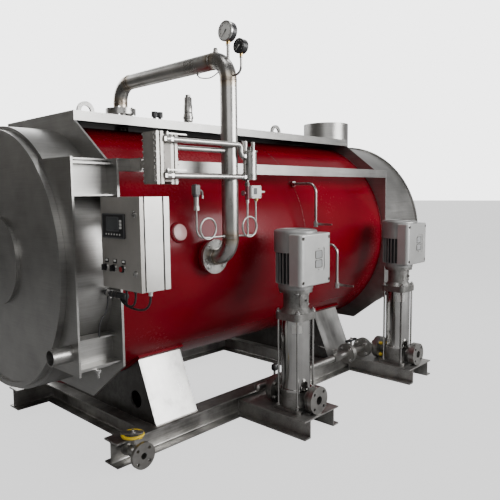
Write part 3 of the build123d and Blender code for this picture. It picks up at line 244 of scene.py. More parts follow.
barrelLook = {"dark": rgb(0.30, 0.295, 0.285), "light": rgb(0.56, 0.555, 0.54), "rough": 0.12, "metal": 1.0,
              "brush": (240, 240, 0.8), "mottle": 3, "stain": 0.08, "bump": 0.0}
castLook = {"dark": rgb(0.11, 0.107, 0.101), "light": rgb(0.32, 0.313, 0.298), "rough": 0.36, "metal": 0.86,
            "brush": (90, 90, 90), "mottle": 9, "stain": 0.2, "bump": 0.16}
boltLook = {"dark": rgb(0.32, 0.317, 0.308), "light": rgb(0.62, 0.615, 0.60), "rough": 0.26, "metal": 0.95,
            "brush": (120, 120, 120), "mottle": 22, "stain": 0.1, "bump": 0.04}
unionLook = {"dark": rgb(0.05, 0.047, 0.043), "light": rgb(0.17, 0.16, 0.148), "rough": 0.36, "metal": 0.85,
             "brush": (200, 200, 200), "mottle": 40, "stain": 0.4, "bump": 0.15}
brassLook = {"dark": rgb(0.26, 0.165, 0.055), "light": rgb(0.50, 0.345, 0.13), "rough": 0.28, "metal": 0.95,
             "brush": (160, 160, 160), "mottle": 40, "stain": 0.3, "bump": 0.1}
# near-black steel, used as painted shade
duskLook = {"dark": rgb(0.045, 0.042, 0.038), "light": rgb(0.16, 0.15, 0.14), "rough": 0.42, "metal": 0.85,
            "brush": (60, 60, 60), "mottle": 12, "stain": 0.3, "bump": 0.2}
grainDepth = 0.0006  # metres, on every steel


def steelTone(place, look):
    cloud = (place.noise(look["mottle"], 5, 0.6) - 0.5) * look.get("cloud", 1.0) + 0.5
    wide = (place.noise(1.6, 2) - 0.5) * look.get("cloud", 1.0) + 0.5
    brush = (place.stretch(look["brush"]).noise(1.0, 4, 0.6) - 0.5) * look.get("grain", 1.0) + 0.5
    tone = (cloud * 0.55 + wide * 0.25 + brush * 0.2).between(0.38, 0.62)
    stain = place.noise(look["mottle"] * 2.7, 4, 0.7).between(0.56, 0.80) * look["stain"]
    colour = (tone - stain * 0.6).clip().mix(look["dark"], look["light"])
    rough = look["rough"] + (brush - 0.5) * 0.20 + (cloud - 0.5) * 0.20 + stain * 0.12
    return colour, rough, brush * 0.7 + cloud * 0.6


def steelFinish(name, look):
    made, start, place = newFinish(name)
    colour, rough, grain = steelTone(place, look)
    closeFinish(start, colour, rough, grain, grainDepth, look["bump"], look["metal"])
    return made


def beside(place, middles):  # metres along X from the nearer of two middles
    first, second = (place.along("X", x).size() for x in middles)
    return first.lesser(second)


# saddles: bright slanted sides, with painted shade on the webs, along their edges and over the unlit inside
saddleTrim = {"half": 0.150, "base": 0.617, "foot": 135, "slope": 0.435, "skin": 0.004, "wall": 0.0095,
              "edge": 0.0005, "shadeBand": 0.020, "web": rgb(0.062, 0.059, 0.055),
              "inside": rgb(0.012, 0.011, 0.010)}


def saddleFinish(name, look, trim):
    made, start, place = newFinish(name)
    colour, rough, grain = steelTone(place, look)
    aside = beside(place, layout["saddleX"])
    deep = place.along("Y", 0).size()
    skin = trim["base"] - place.along("Z", trim["foot"]) * trim["slope"] - deep
    # the webs are painted near black as shade, mottled lighter in patches
    web = aside > trim["half"] - trim["edge"]
    cloudy = web * place.noise(5, 4).between(0.25, 0.65) * 0.35
    colour = web.mix(colour, trim["web"])
    colour = cloudy.mix(colour, look["dark"])
    # painted shade in a mottled band along the webs' edges
    rubbed = aside.between(trim["half"] - trim["shadeBand"], trim["half"])
    worn = rubbed * place.noise(30, 4, 0.7).between(0.40, 0.62) * 0.55
    colour = worn.mix(colour, trim["web"])
    # the inside faces are painted near black as shade
    colour = ((skin > trim["skin"]) * (aside < trim["half"] - trim["wall"])).mix(colour, trim["inside"])
    closeFinish(start, colour, rough, grain, grainDepth, look["bump"], look["metal"])
    return made


# steam column: brown heat marks on both sides of each weld, given as its place and the pipe's direction
columnWelds = [((602, -911, 1180), upward), ((602, -797, 1066), toFar), ((602, -911, 2001), upward),
               ((602, -797, 2115), toFar), ((602, -32, 2115), toFar), ((602, 82, 2001), upward)]
heatLook = {"straw": rgb(0.36, 0.29, 0.20), "brown": rgb(0.16, 0.115, 0.08), "strawReach": (0.062, 0.049),
            "brownReach": (0.0485, 0.0452)}


def columnFinish(name, look, heat):
    made, start, place = newFinish(name)
    colour, rough, grain = steelTone(place, look)
    near = place.far(*columnWelds[0][0])
    for weld in columnWelds[1:]:
        near = near.lesser(place.far(*weld[0]))
    near = near + (place.noise(16, 3) - 0.5) * 0.012
    colour = (near.between(*heat["strawReach"]) * 0.55).mix(colour, heat["straw"])
    colour = (near.between(*heat["brownReach"]) * 0.7).mix(colour, heat["brown"])
    closeFinish(start, colour, rough, grain, grainDepth, look["bump"], look["metal"])
    return made


# coatings and plastics
greyLook = {"dark": rgb(0.36, 0.36, 0.352), "light": rgb(0.52, 0.52, 0.51), "rough": 0.40, "metal": 0.55}
paleLook = {"dark": rgb(0.50, 0.50, 0.48), "light": rgb(0.62, 0.62, 0.60), "rough": 0.46}
# a darker copy of the converter's grey paint on the motors and grille, as painted shade
motorLook = {"dark": rgb(0.20, 0.20, 0.196), "light": rgb(0.32, 0.32, 0.313), "rough": 0.42, "metal": 0.5}
windowLook = {"dark": rgb(0.24, 0.245, 0.245), "light": rgb(0.34, 0.345, 0.345), "rough": 0.24}
blackLook = {"dark": rgb(0.005, 0.005, 0.006), "light": rgb(0.020, 0.020, 0.021), "rough": 0.42}
yellowLook = {"dark": rgb(0.50, 0.34, 0.010), "light": rgb(0.74, 0.53, 0.02), "rough": 0.42}
signalLook = {"dark": rgb(0.20, 0.004, 0.006), "light": rgb(0.30, 0.008, 0.010), "rough": 0.30}
wineLook = {"dark": rgb(0.075, 0.006, 0.012), "light": rgb(0.14, 0.012, 0.02), "rough": 0.40}
dialLook = {"dark": rgb(0.66, 0.66, 0.63), "light": rgb(0.76, 0.76, 0.73), "rough": 0.35}
screenLook = {"dark": rgb(0.045, 0.048, 0.050), "light": rgb(0.070, 0.074, 0.076), "rough": 0.14}
# pale pink of the boss disc, a painted highlight
blushLook = {"dark": rgb(0.44, 0.24, 0.24), "light": rgb(0.60, 0.40, 0.39), "rough": 0.30}
plugLook = {"dark": rgb(0.10, 0.10, 0.098), "light": rgb(0.18, 0.18, 0.175), "rough": 0.42}
bezelLook = {"dark": rgb(0.05, 0.052, 0.055), "light": rgb(0.085, 0.088, 0.092), "rough": 0.45}
coatBump = {"depth": 0.0004, "strength": 0.30}


def coatTone(place, look):
    cloud = place.noise(6, 4)
    grain = place.noise(420, 3, 0.6)
    scuff = place.stretch((40, 40, 6)).noise(1.0, 4, 0.65).between(0.58, 0.80)
    tone = (cloud * 0.7 + grain * 0.3).between(0.3, 0.7)
    colour = (tone - scuff * 0.35).clip().mix(look["dark"], look["light"])
    rough = look["rough"] + (grain - 0.5) * 0.20 + scuff * 0.12
    return colour, rough, grain + cloud * 0.4


def coatedFinish(name, look):
    made, start, place = newFinish(name)
    colour, rough, grain = coatTone(place, look)
    closeFinish(start, colour, rough, grain, coatBump["depth"], coatBump["strength"], look.get("metal", 0.0))
    return made


def toneOf(place, look):
    if "brush" in look:
        return steelTone(place, look)
    return redTone(place, look) if "seamX" in look else coatTone(place, look)


# a node made of two materials: the second shows where the mask is 1
pairBump = 0.28


def pairedFinish(name, first, second, mask, metals=(0.0, 0.0)):
    made, start, place = newFinish(name)
    tones = [toneOf(place, look) for look in (first, second)]
    share = mask(place)
    colour = share.mix(tones[0][0], tones[1][0])
    rough = tones[0][1] * (1 - share) + tones[1][1] * share
    grain = tones[0][2] * (1 - share) + tones[1][2] * share
    metal = metals[0] + (metals[1] - metals[0]) * share
    closeFinish(start, colour, rough, grain, grainDepth, pairBump, metal)
    return made


# where those nodes change material: places in layout millimetres, reaches and halves in metres
edges = {"finReach": (0.1175, 0.109), "finTop": 1066, "finFoot": 884, "lockY": -1078, "handleHub": 0.0462,
         "roofUnder": 1843.4, "roofHalf": 0.3886, "seatReach": 0.7625, "topUnion": 2183,
         "sideUnion": (-960, 2106), "chamber": (116.5, 187.5), "groove": -20.5, "grooveHalf": 0.0044,
         "plugZ": 1406, "neckZ": 1500, "valveX": 687, "glandY": -1060}


def reachOf(a, b):
    return (a * a + b * b) ** 0.5


def finMask(place):  # grooves between the motor fins, painted black as shade: fully near the shaft, fading out towards the fin tips
    radius = reachOf(beside(place, layout["pumpX"]), place.along("Y", layout["pumpY"]))
    finned = (place.along("Z", edges["finTop"]) < 0) * (place.along("Z", edges["finFoot"]) > 0)
    return radius.between(*edges["finReach"]) * finned


def lockMask(place):  # lock cylinders on the door
    return place.along("Y", edges["lockY"]) < 0


def handleMask(place):  # painted ring and lug of the drain handle
    x, y = layout["drain"]
    return reachOf(place.along("X", x), place.along("Y", y)) > edges["handleHub"]


def roofMask(place):  # underside of the top plate, painted black as shade
    return (place.along("Z", edges["roofUnder"]) < 0) * (place.along("Y", 0).size() < edges["roofHalf"])


def seatMask(place):  # painted seats of the tap pipes
    return reachOf(place.along("Y", 0), place.along("Z", layout["axisZ"])) < edges["seatReach"]


def brassMask(place):  # short brass unions right under the two gauges
    y, z = edges["sideUnion"]
    low = (place.along("Y", y) < 0) * (place.along("Z", z) > 0)
    return (place.along("Z", edges["topUnion"]) > 0).greater(low)


def chamberMask(place):  # the box between the chamber's two plate pairs, given painted shade
    front, rear = edges["chamber"]
    return (place.along("X", front) > 0) * (place.along("X", rear) < 0)


def grooveMask(place):  # groove round the cabinet, in front of its rear tray, painted black as shade
    return place.along("X", edges["groove"]).size() < edges["grooveHalf"]


def plugMask(place):  # plastic plug on top of the transmitter
    return place.along("Z", edges["plugZ"]) > 0


def neckMask(place):  # steel neck on the top plate, in one node with the red nozzle
    return place.along("Z", edges["neckZ"]) > 0


def valveMask(place):  # dark red valve beside the pressure switch
    return place.along("X", edges["valveX"]) < 0


def glandMask(place):  # the pale gland at the near end of the row
    return place.along("Y", edges["glandY"]) < 0


finishes = {
    "red": redPaint("red_gloss_paint", redLook),
    "plate": steelFinish("pickled_plate", plateLook),
    "beam": steelFinish("skid_beam_steel", beamLook),
    "saddle": saddleFinish("saddle_sheet", saddleLook, saddleTrim),
    "sheet": steelFinish("brushed_cabinet_sheet", sheetLook),
    "door": steelFinish("brushed_sheet_shaded_door", doorLook),
    "fitting": steelFinish("satin_fitting_steel", fittingLook),
    "column": columnFinish("steam_pipe_steel", pipeLook, heatLook),
    "pipe": steelFinish("drawn_pipe_steel", pipeLook),
    "header": steelFinish("feed_pipe_steel", headerLook),
    "roof": pairedFinish("roof_plate", plateLook, blackLook, roofMask, (0.9, 0)),
    "tap": pairedFinish("tap_pipe_steel", pipeLook, redLook, seatMask, (0.95, 0)),
    "stem": pairedFinish("gauge_stem_steel", pipeLook, brassLook, brassMask, (0.95, 0.95)),
    "chamber": pairedFinish("level_chamber_steel", coverLook, duskLook, chamberMask, (0.72, 0.85)),
    "cabinet": pairedFinish("cabinet_body_sheet", sheetLook, blackLook, grooveMask, (0.94, 0)),
    "plug": pairedFinish("transmitter_steel", pipeLook, plugLook, plugMask, (0.95, 0)),
    "barrel": steelFinish("polished_barrel", barrelLook),
    "cast": steelFinish("blasted_casting", castLook),
    "bolt": steelFinish("bright_bolt_steel", boltLook),
    "union": steelFinish("dark_union_steel", unionLook),
    "shadeSteel": steelFinish("painted_shade_steel", duskLook),
    "brass": steelFinish("turned_brass", brassLook),
    "grey": coatedFinish("grey_converter_coat", greyLook),
    "cowl": coatedFinish("shaded_grey_motor_coat", motorLook),
    "window": coatedFinish("window_plastic", windowLook),
    "pale": coatedFinish("pale_plastic", paleLook),
    "black": coatedFinish("black_plastic", blackLook),
    "yellow": coatedFinish("yellow_coat", yellowLook),
    "signal": coatedFinish("signal_red_plastic", signalLook),
    "dial": coatedFinish("dial_card", dialLook),
    "bossHighlight": coatedFinish("boss_cap_painted_highlight", blushLook),
    "screen": coatedFinish("display_glass", screenLook),
    "bezel": coatedFinish("display_frame", bezelLook),
    "nozzle": pairedFinish("red_nozzle_steel_neck", redLook, fittingLook, neckMask, (0, 0.93)),
    "motor": pairedFinish("shaded_finned_motor_coat", motorLook, blackLook, finMask, (0.5, 0)),
    "controls": pairedFinish("door_controls", blackLook, boltLook, lockMask, (0, 0.95)),
    "handle": pairedFinish("painted_ring_handle", castLook, yellowLook, handleMask, (0.85, 0)),
    "switch": pairedFinish("switch_and_valve", paleLook, wineLook, valveMask),
    "gland": pairedFinish("cable_gland_nylon", blackLook, paleLook, glandMask),
}

nodeFinish = {
    "red": ["boiler_shell", "shell_boss", "saddle_pads", "front_tube_plate", "rear_tube_plate"],
    "nozzle": ["water_nozzle"],
    "plate": ["frame_plate_front", "frame_plate_rear", "side_rails", "front_drum", "front_ears", "front_arms",
              "front_stub", "front_door", "rear_drum", "rear_cover", "chimney_collar", "lifting_lugs",
              "cabinet_bars"],
    "roof": ["top_plate"],
    "beam": ["long_beam_near", "long_beam_far", "cross_beams", "pump_brackets"],
    "saddle": ["saddle_front", "saddle_rear"],
    "cabinet": ["cabinet_body"],
    "door": ["cabinet_door"],
    "column": ["steam_column"],
    "chamber": ["level_chamber"],
    "fitting": ["column_flanges", "level_valves", "condensate_pot", "safety_valve", "tap_lever_upper",
                "tap_lever_lower", "level_lever_upper", "level_lever_lower"],
    "pipe": ["level_pipes", "siphon_tubes"],
    "plug": ["transmitter"],
    "tap": ["tap_pipes"],
    "header": ["feed_header", "drain_line", "counter_flanges"],
    "stem": ["gauge_stems"],
    "barrel": ["pump_barrels", "stay_bolts"],
    "cast": ["pump_bases", "pump_heads"],
    "motor": ["pump_motors"],
    "grey": ["pump_converters"],
    "switch": ["pressure_switch"],
    "controls": ["cabinet_controls"],
    "gland": ["cable_glands"],
    "black": ["top_caps", "cable_leads", "feed_valve_handle", "gauges"],
    "handle": ["drain_valve_handle"],
}
for key, names in nodeFinish.items():
    for name in names:
        nodes[name].data.materials.clear()
        nodes[name].data.materials.append(finishes[key])
print("finishes on nodes:", sum(len(v) for v in nodeFinish.values()))


# mesh helpers: all sizes in layout millimetres
def basis(axis):  # right, up and out of a face that looks along axis
    out = Vector(axis).normalized()
    rise = Vector((0, 1, 0)) if abs(out.z) > 0.95 else Vector((0, 0, 1))
    aside = rise.cross(out).normalized()
    return Matrix((aside, out.cross(aside), out)).transposed()


def loop(bm, place, turn, points):
    foot = Vector(place)
    return [bm.verts.new(at(*(foot + turn @ Vector(p)))) for p in points]


def span(bm, low, high):
    for k in range(max(len(low), len(high))):
        corners = (low[k % len(low)], low[(k + 1) % len(low)], high[(k + 1) % len(high)], high[k % len(high)])
        corners = list(dict.fromkeys(corners))
        if len(corners) > 2:
            bm.faces.new(corners)


def spanAll(bm, loops):
    for low, high in zip(loops, loops[1:]):
        span(bm, low, high)


def turnAngles(steps, first=0.0):  # angles in radians
    return [math.radians(first) + 2 * math.pi * k / steps for k in range(steps)]


def lathe(bm, place, axis, profile, steps=20, flute=0.0):  # profile: radius and height pairs
    turn = basis(axis)
    loops = []
    for radius, out in profile:
        angles = turnAngles(steps) if radius > 0 else [0.0]
        wide = [radius * (1 - flute * (k % 2)) for k in range(len(angles))]
        points = [(w * math.cos(a), w * math.sin(a), out) for w, a in zip(wide, angles)]
        loops.append(loop(bm, place, turn, points))
    spanAll(bm, loops)


def outline(width, height, corner, steps=4):
    points = []
    for k, (across, up) in enumerate(((1, 1), (-1, 1), (-1, -1), (1, -1))):
        for s in range(steps + 1):
            angle = math.radians(90 * (k + s / steps))
            points.append((across * (width / 2 - corner) + corner * math.cos(angle),
                           up * (height / 2 - corner) + corner * math.sin(angle)))
    return points


def tile(bm, place, axis, width, height, depth, corner=2.0, edge=0.6, spin=0):  # plate with soft front edges
    turn = basis(axis) @ Matrix.Rotation(math.radians(spin), 3, "Z")
    rim = outline(width, height, corner)
    inner = outline(width - 2 * edge, height - 2 * edge, max(corner - edge, 0.1))
    levels = ((rim, 0), (rim, depth - edge), (inner, depth))
    loops = [loop(bm, place, turn, [(u, v, out) for u, v in shape]) for shape, out in levels]
    spanAll(bm, loops)
    bm.faces.new(loops[-1])


def border(bm, place, axis, width, height, band, depth, corner=4.0):  # raised frame round an opening
    turn = basis(axis)
    outer = outline(width, height, corner)
    inner = outline(width - 2 * band, height - 2 * band, max(corner - band, 0.5))
    levels = ((outer, 0), (outer, depth), (inner, depth), (inner, 0))
    spanAll(bm, [loop(bm, place, turn, [(u, v, out) for u, v in shape]) for shape, out in levels])


def tube(bm, points, radius, steps=8, closed=False, ripple=0.0):
    path = [Vector(p) for p in points]
    rippleStep = 2.2  # radians from one point to the next
    side = None
    loops = []
    for k, p in enumerate(path):
        before = path[k - 1] if closed or k else p
        after = path[(k + 1) % len(path)] if closed or k < len(path) - 1 else p
        way = (after - before).normalized()
        side = way.orthogonal() if side is None else side - way * side.dot(way)
        side.normalize()
        other = way.cross(side)
        wide = radius * (1 + ripple * math.sin(k * rippleStep))
        rim = [p + (side * math.cos(a) + other * math.sin(a)) * wide for a in turnAngles(steps)]
        loops.append([bm.verts.new(at(*corner)) for corner in rim])
    spanAll(bm, loops)
    if closed:
        span(bm, loops[-1], loops[0])
    else:
        bm.faces.new(loops[0][::-1])
        bm.faces.new(loops[-1])


def circle(place, axis, radius, steps, first=0.0):
    turn = basis(axis)
    spokes = [Vector((radius * math.cos(a), radius * math.sin(a), 0)) for a in turnAngles(steps, first)]
    return [Vector(place) + turn @ spoke for spoke in spokes]


def straight(first, last, step):
    first, last = Vector(first), Vector(last)
    count = max(2, int((last - first).length / step))
    return [first.lerp(last, k / count) for k in range(count + 1)]


def smoothLine(points, parts):  # a soft line through a few points
    path = [Vector(p) for p in points]
    path = [path[0] * 2 - path[1]] + path + [path[-1] * 2 - path[-2]]
    made = []
    for a, b, c, d in zip(path, path[1:], path[2:], path[3:]):
        for k in range(parts):
            t = k / parts
            made.append(0.5 * (2 * b + (c - a) * t + (2 * a - 5 * b + 4 * c - d) * t * t
                               + (3 * b - 3 * c + d - a) * t ** 3))
    return made + [path[-2]]


# bolt heads, nuts and washers as shares of the thread
boltShape = {"washer": 0.17, "washerEdge": 0.8, "washerWide": 1.12, "washerTop": 1.05, "head": 0.66,
             "nut": 0.85, "corner": 0.96, "bevel": 0.08, "crown": 0.87, "threads": 8, "root": 0.88,
             "tip": 0.8, "pastNut": 0.35}


def hexBolt(bm, place, axis, size, washer=True, stud=0.0):  # size is the thread, place is the seat
    shape = boltShape
    base = 0.0
    if washer:
        base = size * shape["washer"]
        rim = size * shape["washerWide"]
        top = [(size * shape["washerTop"], base), (0, base)]
        lathe(bm, place, axis, [(rim, 0), (rim, base * shape["washerEdge"])] + top)
    height = base + size * (shape["nut"] if stud else shape["head"])
    corner = size * shape["corner"]
    crown = [(corner * shape["crown"], height), (0, height)]
    lathe(bm, place, axis, [(corner, base), (corner, height - size * shape["bevel"])] + crown, 6)
    if stud:
        rod = size / 2
        end = height + stud
        count = shape["threads"]
        threads = [(rod * (1 if k % 2 else shape["root"]), height + stud * k / count) for k in range(count)]
        lathe(bm, place, axis, threads + [(rod * shape["tip"], end), (0, end)], 12)


def through(bm, place, axis, size, grip):  # bolt head on one side, nut and thread end on the other
    way = Vector(axis).normalized()
    hexBolt(bm, place, way, size)
    hexBolt(bm, Vector(place) - way * grip, -way, size, True, size * boltShape["pastNut"])


def newPiece(name, bm, body, finish, crease=35):
    bmesh.ops.remove_doubles(bm, verts=bm.verts, dist=1e-6)
    bmesh.ops.recalc_face_normals(bm, faces=bm.faces)
    mesh = bpy.data.meshes.new(name)
    bm.to_mesh(mesh)
    bm.free()
    mesh.materials.append(finishes[finish])
    for face in mesh.polygons:
        face.use_smooth = True
    mesh.set_sharp_from_angle(angle=math.radians(crease))
    made = bpy.data.objects.new(name, mesh)
    bpy.context.collection.objects.link(made)
    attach(made, body)
    return made


# bolts of the flange pairs: seats of the heads, bolt circle, thread and what the bolts hold together
flangeBolts = {
    "columnTop": {"seats": [(602, 82, 1961)], "axis": upward, "circle": 75, "size": 12, "grip": 36},
    "columnFoot": {"seats": [(602, -793, 1066)], "axis": toNear, "circle": 75, "size": 12, "grip": 36},
    "pumpPorts": {"seats": [(1080, -844, 196), (2328, -844, 196)], "axis": toNear, "circle": 62.5, "size": 13,
                  "grip": 46},
    "header": {"seats": [(1985, -732, 196), (2204, -732, 196)], "axis": toFront, "circle": 55, "size": 12,
               "grip": 36},
}
bm = bmesh.new()
for joint in flangeBolts.values():
    for seat in joint["seats"]:
        for hole in circle(seat, joint["axis"], joint["circle"], 4, 45):
            through(bm, hole, joint["axis"], joint["size"], joint["grip"])
newPiece("flange_bolts", bm, "boiler", "bolt")

# nuts, screws, windows and fan grille on the two pumps
stayTrim = {"out": 73.5, "nut": 14, "foot": 133, "top": 707, "end": 8}
ringTrim = {"circle": 87, "bolt": 10, "z": 829}
guardTrim = {"out": 36, "y": -1043.2, "z": 782, "rise": 30,
             "screw": [(5, 0), (5, 2), (4, 3), (2, 3), (2, 1.4), (0, 1.4)]}
lidTrim = {"x": 12, "y": -1110, "z": 1028, "out": 122.5, "rise": 126,
           "screw": [(10.8, 0), (10.8, 7), (9.6, 8.4), (5, 8.4), (5, 3), (0, 3)]}
windowTrim = {"x": 38, "y": -1116, "rise": 27, "size": (60, 42), "depth": 1.2, "corner": 6, "edge": 0.6,
              "frame": (66, 48), "band": 3, "frameDepth": 2.6, "frameCorner": 8, "buttonRise": 61,
              "button": [(3.4, 0), (3.4, 1.6), (1.5, 2.2), (0, 2.2)]}
grilleTrim = {"z": 1199, "rings": 6, "first": 24, "step": 15, "foot": 3.5, "top": 2.5, "height": 2.2}
bm = bmesh.new()
dark = bmesh.new()
windows = bmesh.new()
grille = bmesh.new()
pumpY = layout["pumpY"]
for x in layout["pumpX"]:
    for across in signs:
        for deep in signs:
            stay = (x + across * stayTrim["out"], pumpY + deep * stayTrim["out"])
            hexBolt(bm, (*stay, stayTrim["foot"]), upward, stayTrim["nut"])
            hexBolt(bm, (*stay, stayTrim["top"]), upward, stayTrim["nut"], True, stayTrim["end"])
            ring = ringTrim["circle"] * math.sqrt(0.5)
            hexBolt(bm, (x + across * ring, pumpY + deep * ring, ringTrim["z"]), downward, ringTrim["bolt"])
            aside = across * guardTrim["out"]
            screw = (x + aside, guardTrim["y"], guardTrim["z"] + deep * guardTrim["rise"])
            lathe(bm, screw, (aside, guardTrim["y"] - pumpY, 0), guardTrim["screw"], 12)
            # the dark lid screws are as wide as their recesses: their dark colour is the screws' own and
            # painted shade in the recesses
            aside = lidTrim["x"] + across * lidTrim["out"]
            screw = (x + aside, lidTrim["y"], lidTrim["z"] + deep * lidTrim["rise"])
            lathe(dark, screw, toNear, lidTrim["screw"], 18)
    for deep in signs:
        middle = (x + windowTrim["x"], windowTrim["y"], lidTrim["z"] + deep * windowTrim["rise"])
        tile(windows, middle, toNear, *windowTrim["size"], windowTrim["depth"], windowTrim["corner"],
             windowTrim["edge"])
        border(dark, middle, toNear, *windowTrim["frame"], windowTrim["band"], windowTrim["frameDepth"],
               windowTrim["frameCorner"])
        button = (x + windowTrim["x"], windowTrim["y"], lidTrim["z"] + deep * windowTrim["buttonRise"])
        lathe(dark, button, toNear, windowTrim["button"], 12)
    for k in range(grilleTrim["rings"]):
        radius = grilleTrim["first"] + grilleTrim["step"] * k
        foot, top, height = grilleTrim["foot"], grilleTrim["top"], grilleTrim["height"]
        profile = [(radius - foot, 0), (radius - top, height), (radius + top, height), (radius + foot, 0)]
        lathe(grille, (x, pumpY, grilleTrim["z"]), upward, profile, 48)
newPiece("pump_nuts", bm, "boiler", "bolt")
newPiece("converter_screws", dark, "boiler", "union")
newPiece("converter_windows", windows, "boiler", "window")
newPiece("cowl_grille", grille, "boiler", "cowl")

# yellow caps on two bolts of the farther pump's flange to the header
capTrim = {"radius": 13, "height": 15, "skirt": 8, "y": -857.5, "out": 44.2}
bm = bmesh.new()
r, h = capTrim["radius"], capTrim["height"]
for up in (1, -1):
    place = (layout["pumpX"][1] - capTrim["out"], capTrim["y"], layout["portZ"] + up * capTrim["out"])
    dome = [(r * 0.8, h * 0.9), (r * 0.35, h), (0, h)]
    lathe(bm, place, toNear, [(r, -capTrim["skirt"]), (r, h * 0.55)] + dome, 16)
newPiece("flange_bolt_caps", bm, "boiler", "yellow")
print("pump trim done")

# bolts, studs and bracket screws of the level chamber: head is a washer or not, then the thread's end
levelTrim = {"rows": 9, "low": 1474, "high": 1686, "bolt": 7, "end": 4, "bracket": (84, -838),
             "bracketBolt": 8, "bracketRows": (1544, 1564),
             "stud": [(5, 0), (4.4, 2), (5, 4), (4.4, 6), (5, 8)],
             "pairs": [{"front": 76, "gap": 92, "rear": 116, "y": (-967, -882), "head": (True, 2)},
                       {"front": 188, "gap": 204, "rear": 228, "y": (-931, -882), "head": (False, 4)}]}
bm = bmesh.new()
studs = bmesh.new()
for k in range(levelTrim["rows"]):
    z = levelTrim["low"] + (levelTrim["high"] - levelTrim["low"]) * k / (levelTrim["rows"] - 1)
    for pair in levelTrim["pairs"]:
        for y in pair["y"]:
            hexBolt(bm, (pair["front"], y, z), toFront, levelTrim["bolt"], *pair["head"])
            lathe(studs, (pair["gap"], y, z), toRear, levelTrim["stud"], 12)
            hexBolt(bm, (pair["rear"], y, z), toRear, levelTrim["bolt"], False, levelTrim["end"])
for z in levelTrim["bracketRows"]:
    hexBolt(bm, (*levelTrim["bracket"], z), toFront, levelTrim["bracketBolt"])
newPiece("level_chamber_bolts", bm, "boiler", "bolt")
newPiece("level_chamber_studs", studs, "boiler", "union")

# dark threaded unions over and under the pot
unionTrim = {"feet": [(675, -969.25, 1452), (697, -969.25, 1640)],
             "profile": [(9.3, 0), (14, 0), (14, 12), (12, 13), (12, 20), (9.3, 20)]}
bm = bmesh.new()
for place in unionTrim["feet"]:
    lathe(bm, place, upward, unionTrim["profile"], 6)
newPiece("pipe_unions", bm, "boiler", "union")
print("level trim done")

# gauge faces: dial, marks, needle and bezel; marks and needle are shares of the dial's reach
gaugeTrim = {"large": {"y": -911, "z": 2247, "plane": 585.2, "reach": 45.6, "front": 581, "rim": 50,
                       "card": "dial", "ink": "black", "bezel": "bolt"},
             "small": {"y": -1005, "z": 2156, "plane": 586.8, "reach": 32.8, "front": 583, "rim": 36,
                       "card": "black", "ink": "dial", "bezel": "black"}}
dialTrim = {"first": 225, "sweep": 270, "marks": 40, "longEach": 5, "longMark": (0.70, 0.022),
            "shortMark": (0.80, 0.011), "markEnd": 0.88, "tail": -0.24, "tailWide": 0.06, "tip": 0.78,
            "tipWide": 0.012, "hub": [(0.10, 0), (0.10, 1.6), (0.06, 2.6), (0, 2.6)],
            "card": 0.9, "ink": 1.2, "needle": (1.6, 2.4)}


# one printed mark or needle, from low to high off the dial's plane
def stroke(bm, gauge, degrees, inner, outer, innerWide, outerWide, low, high):
    angle = math.radians(degrees)
    way = Vector((math.cos(angle), math.sin(angle), 0)) * gauge["reach"]
    aside = Vector((-math.sin(angle), math.cos(angle), 0)) * gauge["reach"]
    corners = [way * inner - aside * innerWide, way * outer - aside * outerWide,
               way * outer + aside * outerWide, way * inner + aside * innerWide]
    feet = [(gauge["plane"] - out, gauge["y"], gauge["z"]) for out in (low, high)]
    loops = [loop(bm, foot, basis(toFront), corners) for foot in feet]
    spanAll(bm, loops)
    bm.faces.new(loops[-1])


for name, gauge in gaugeTrim.items():
    y, z, plane, reach = (gauge[key] for key in ("y", "z", "plane", "reach"))
    card = dialTrim["card"]
    bm = bmesh.new()
    lathe(bm, (plane, y, z), toFront, [(reach, 0), (reach, 0.6), (reach - 1, card), (0, card)], 48)
    newPiece("gauge_dial_" + name, bm, "boiler", gauge["card"])
    bm = bmesh.new()
    for k in range(dialTrim["marks"] + 1):
        inner, wide = dialTrim["shortMark" if k % dialTrim["longEach"] else "longMark"]
        degrees = dialTrim["first"] - dialTrim["sweep"] * k / dialTrim["marks"]
        stroke(bm, gauge, degrees, inner, dialTrim["markEnd"], wide, wide, card, dialTrim["ink"])
    newPiece("gauge_marks_" + name, bm, "boiler", gauge["ink"])
    bm = bmesh.new()
    stroke(bm, gauge, dialTrim["first"], dialTrim["tail"], dialTrim["tip"], dialTrim["tailWide"],
           dialTrim["tipWide"], *dialTrim["needle"])
    lathe(bm, (plane - card, y, z), toFront, [(share * reach, out) for share, out in dialTrim["hub"]], 16)
    newPiece("gauge_needle_" + name, bm, "boiler", gauge["ink"])
    bm = bmesh.new()
    rim = gauge["rim"]
    skirt = [(rim + 0.6, 9), (rim + 1.8, 8), (rim + 1.8, 1), (rim, -0.8)]
    lathe(bm, (gauge["front"], y, z), toRear, skirt + [(reach + 1.2, -0.8), (reach - 0.6, 2.6)], 48)
    newPiece("gauge_bezel_" + name, bm, "boiler", gauge["bezel"])
print("gauges done")

# front of the cabinet door: plates are width, height, depth, corner and soft edge
doorTrim = {"face": -140, "controlZ": 1094, "selectors": (-871, -935), "buttonY": -1005, "lockY": -1096,
            "locks": (1331, 1080), "ring": [(17.5, 0), (17.5, 2.5), (16, 4), (13.6, 4)],
            "collar": [(14, 0), (14, 1.5), (12, 3), (9.3, 3)],
            "button": [(12.2, 9), (12.2, 14.5), (10.5, 16), (0, 16.4)]}
displayTrim = {"face": -146, "middle": (-946, 1278.5), "frame": (168, 107, 5, 1.4, 5),
               "screen": (-942.5, 1287), "screenSize": (86, 54), "screenPlate": (0.7, 2, 0.3), "band": 5,
               "bandDepth": 1.8, "bandCorner": 4, "keyY": -1002, "keys": (1300, 1286, 1272),
               "key": (15, 11, 1.8, 2, 0.6), "dots": 6, "dotY": -890, "dotStep": 21, "dotZ": 1242,
               "dot": [(4, 0), (4, 0.8), (3, 1.2), (0, 1.2)]}
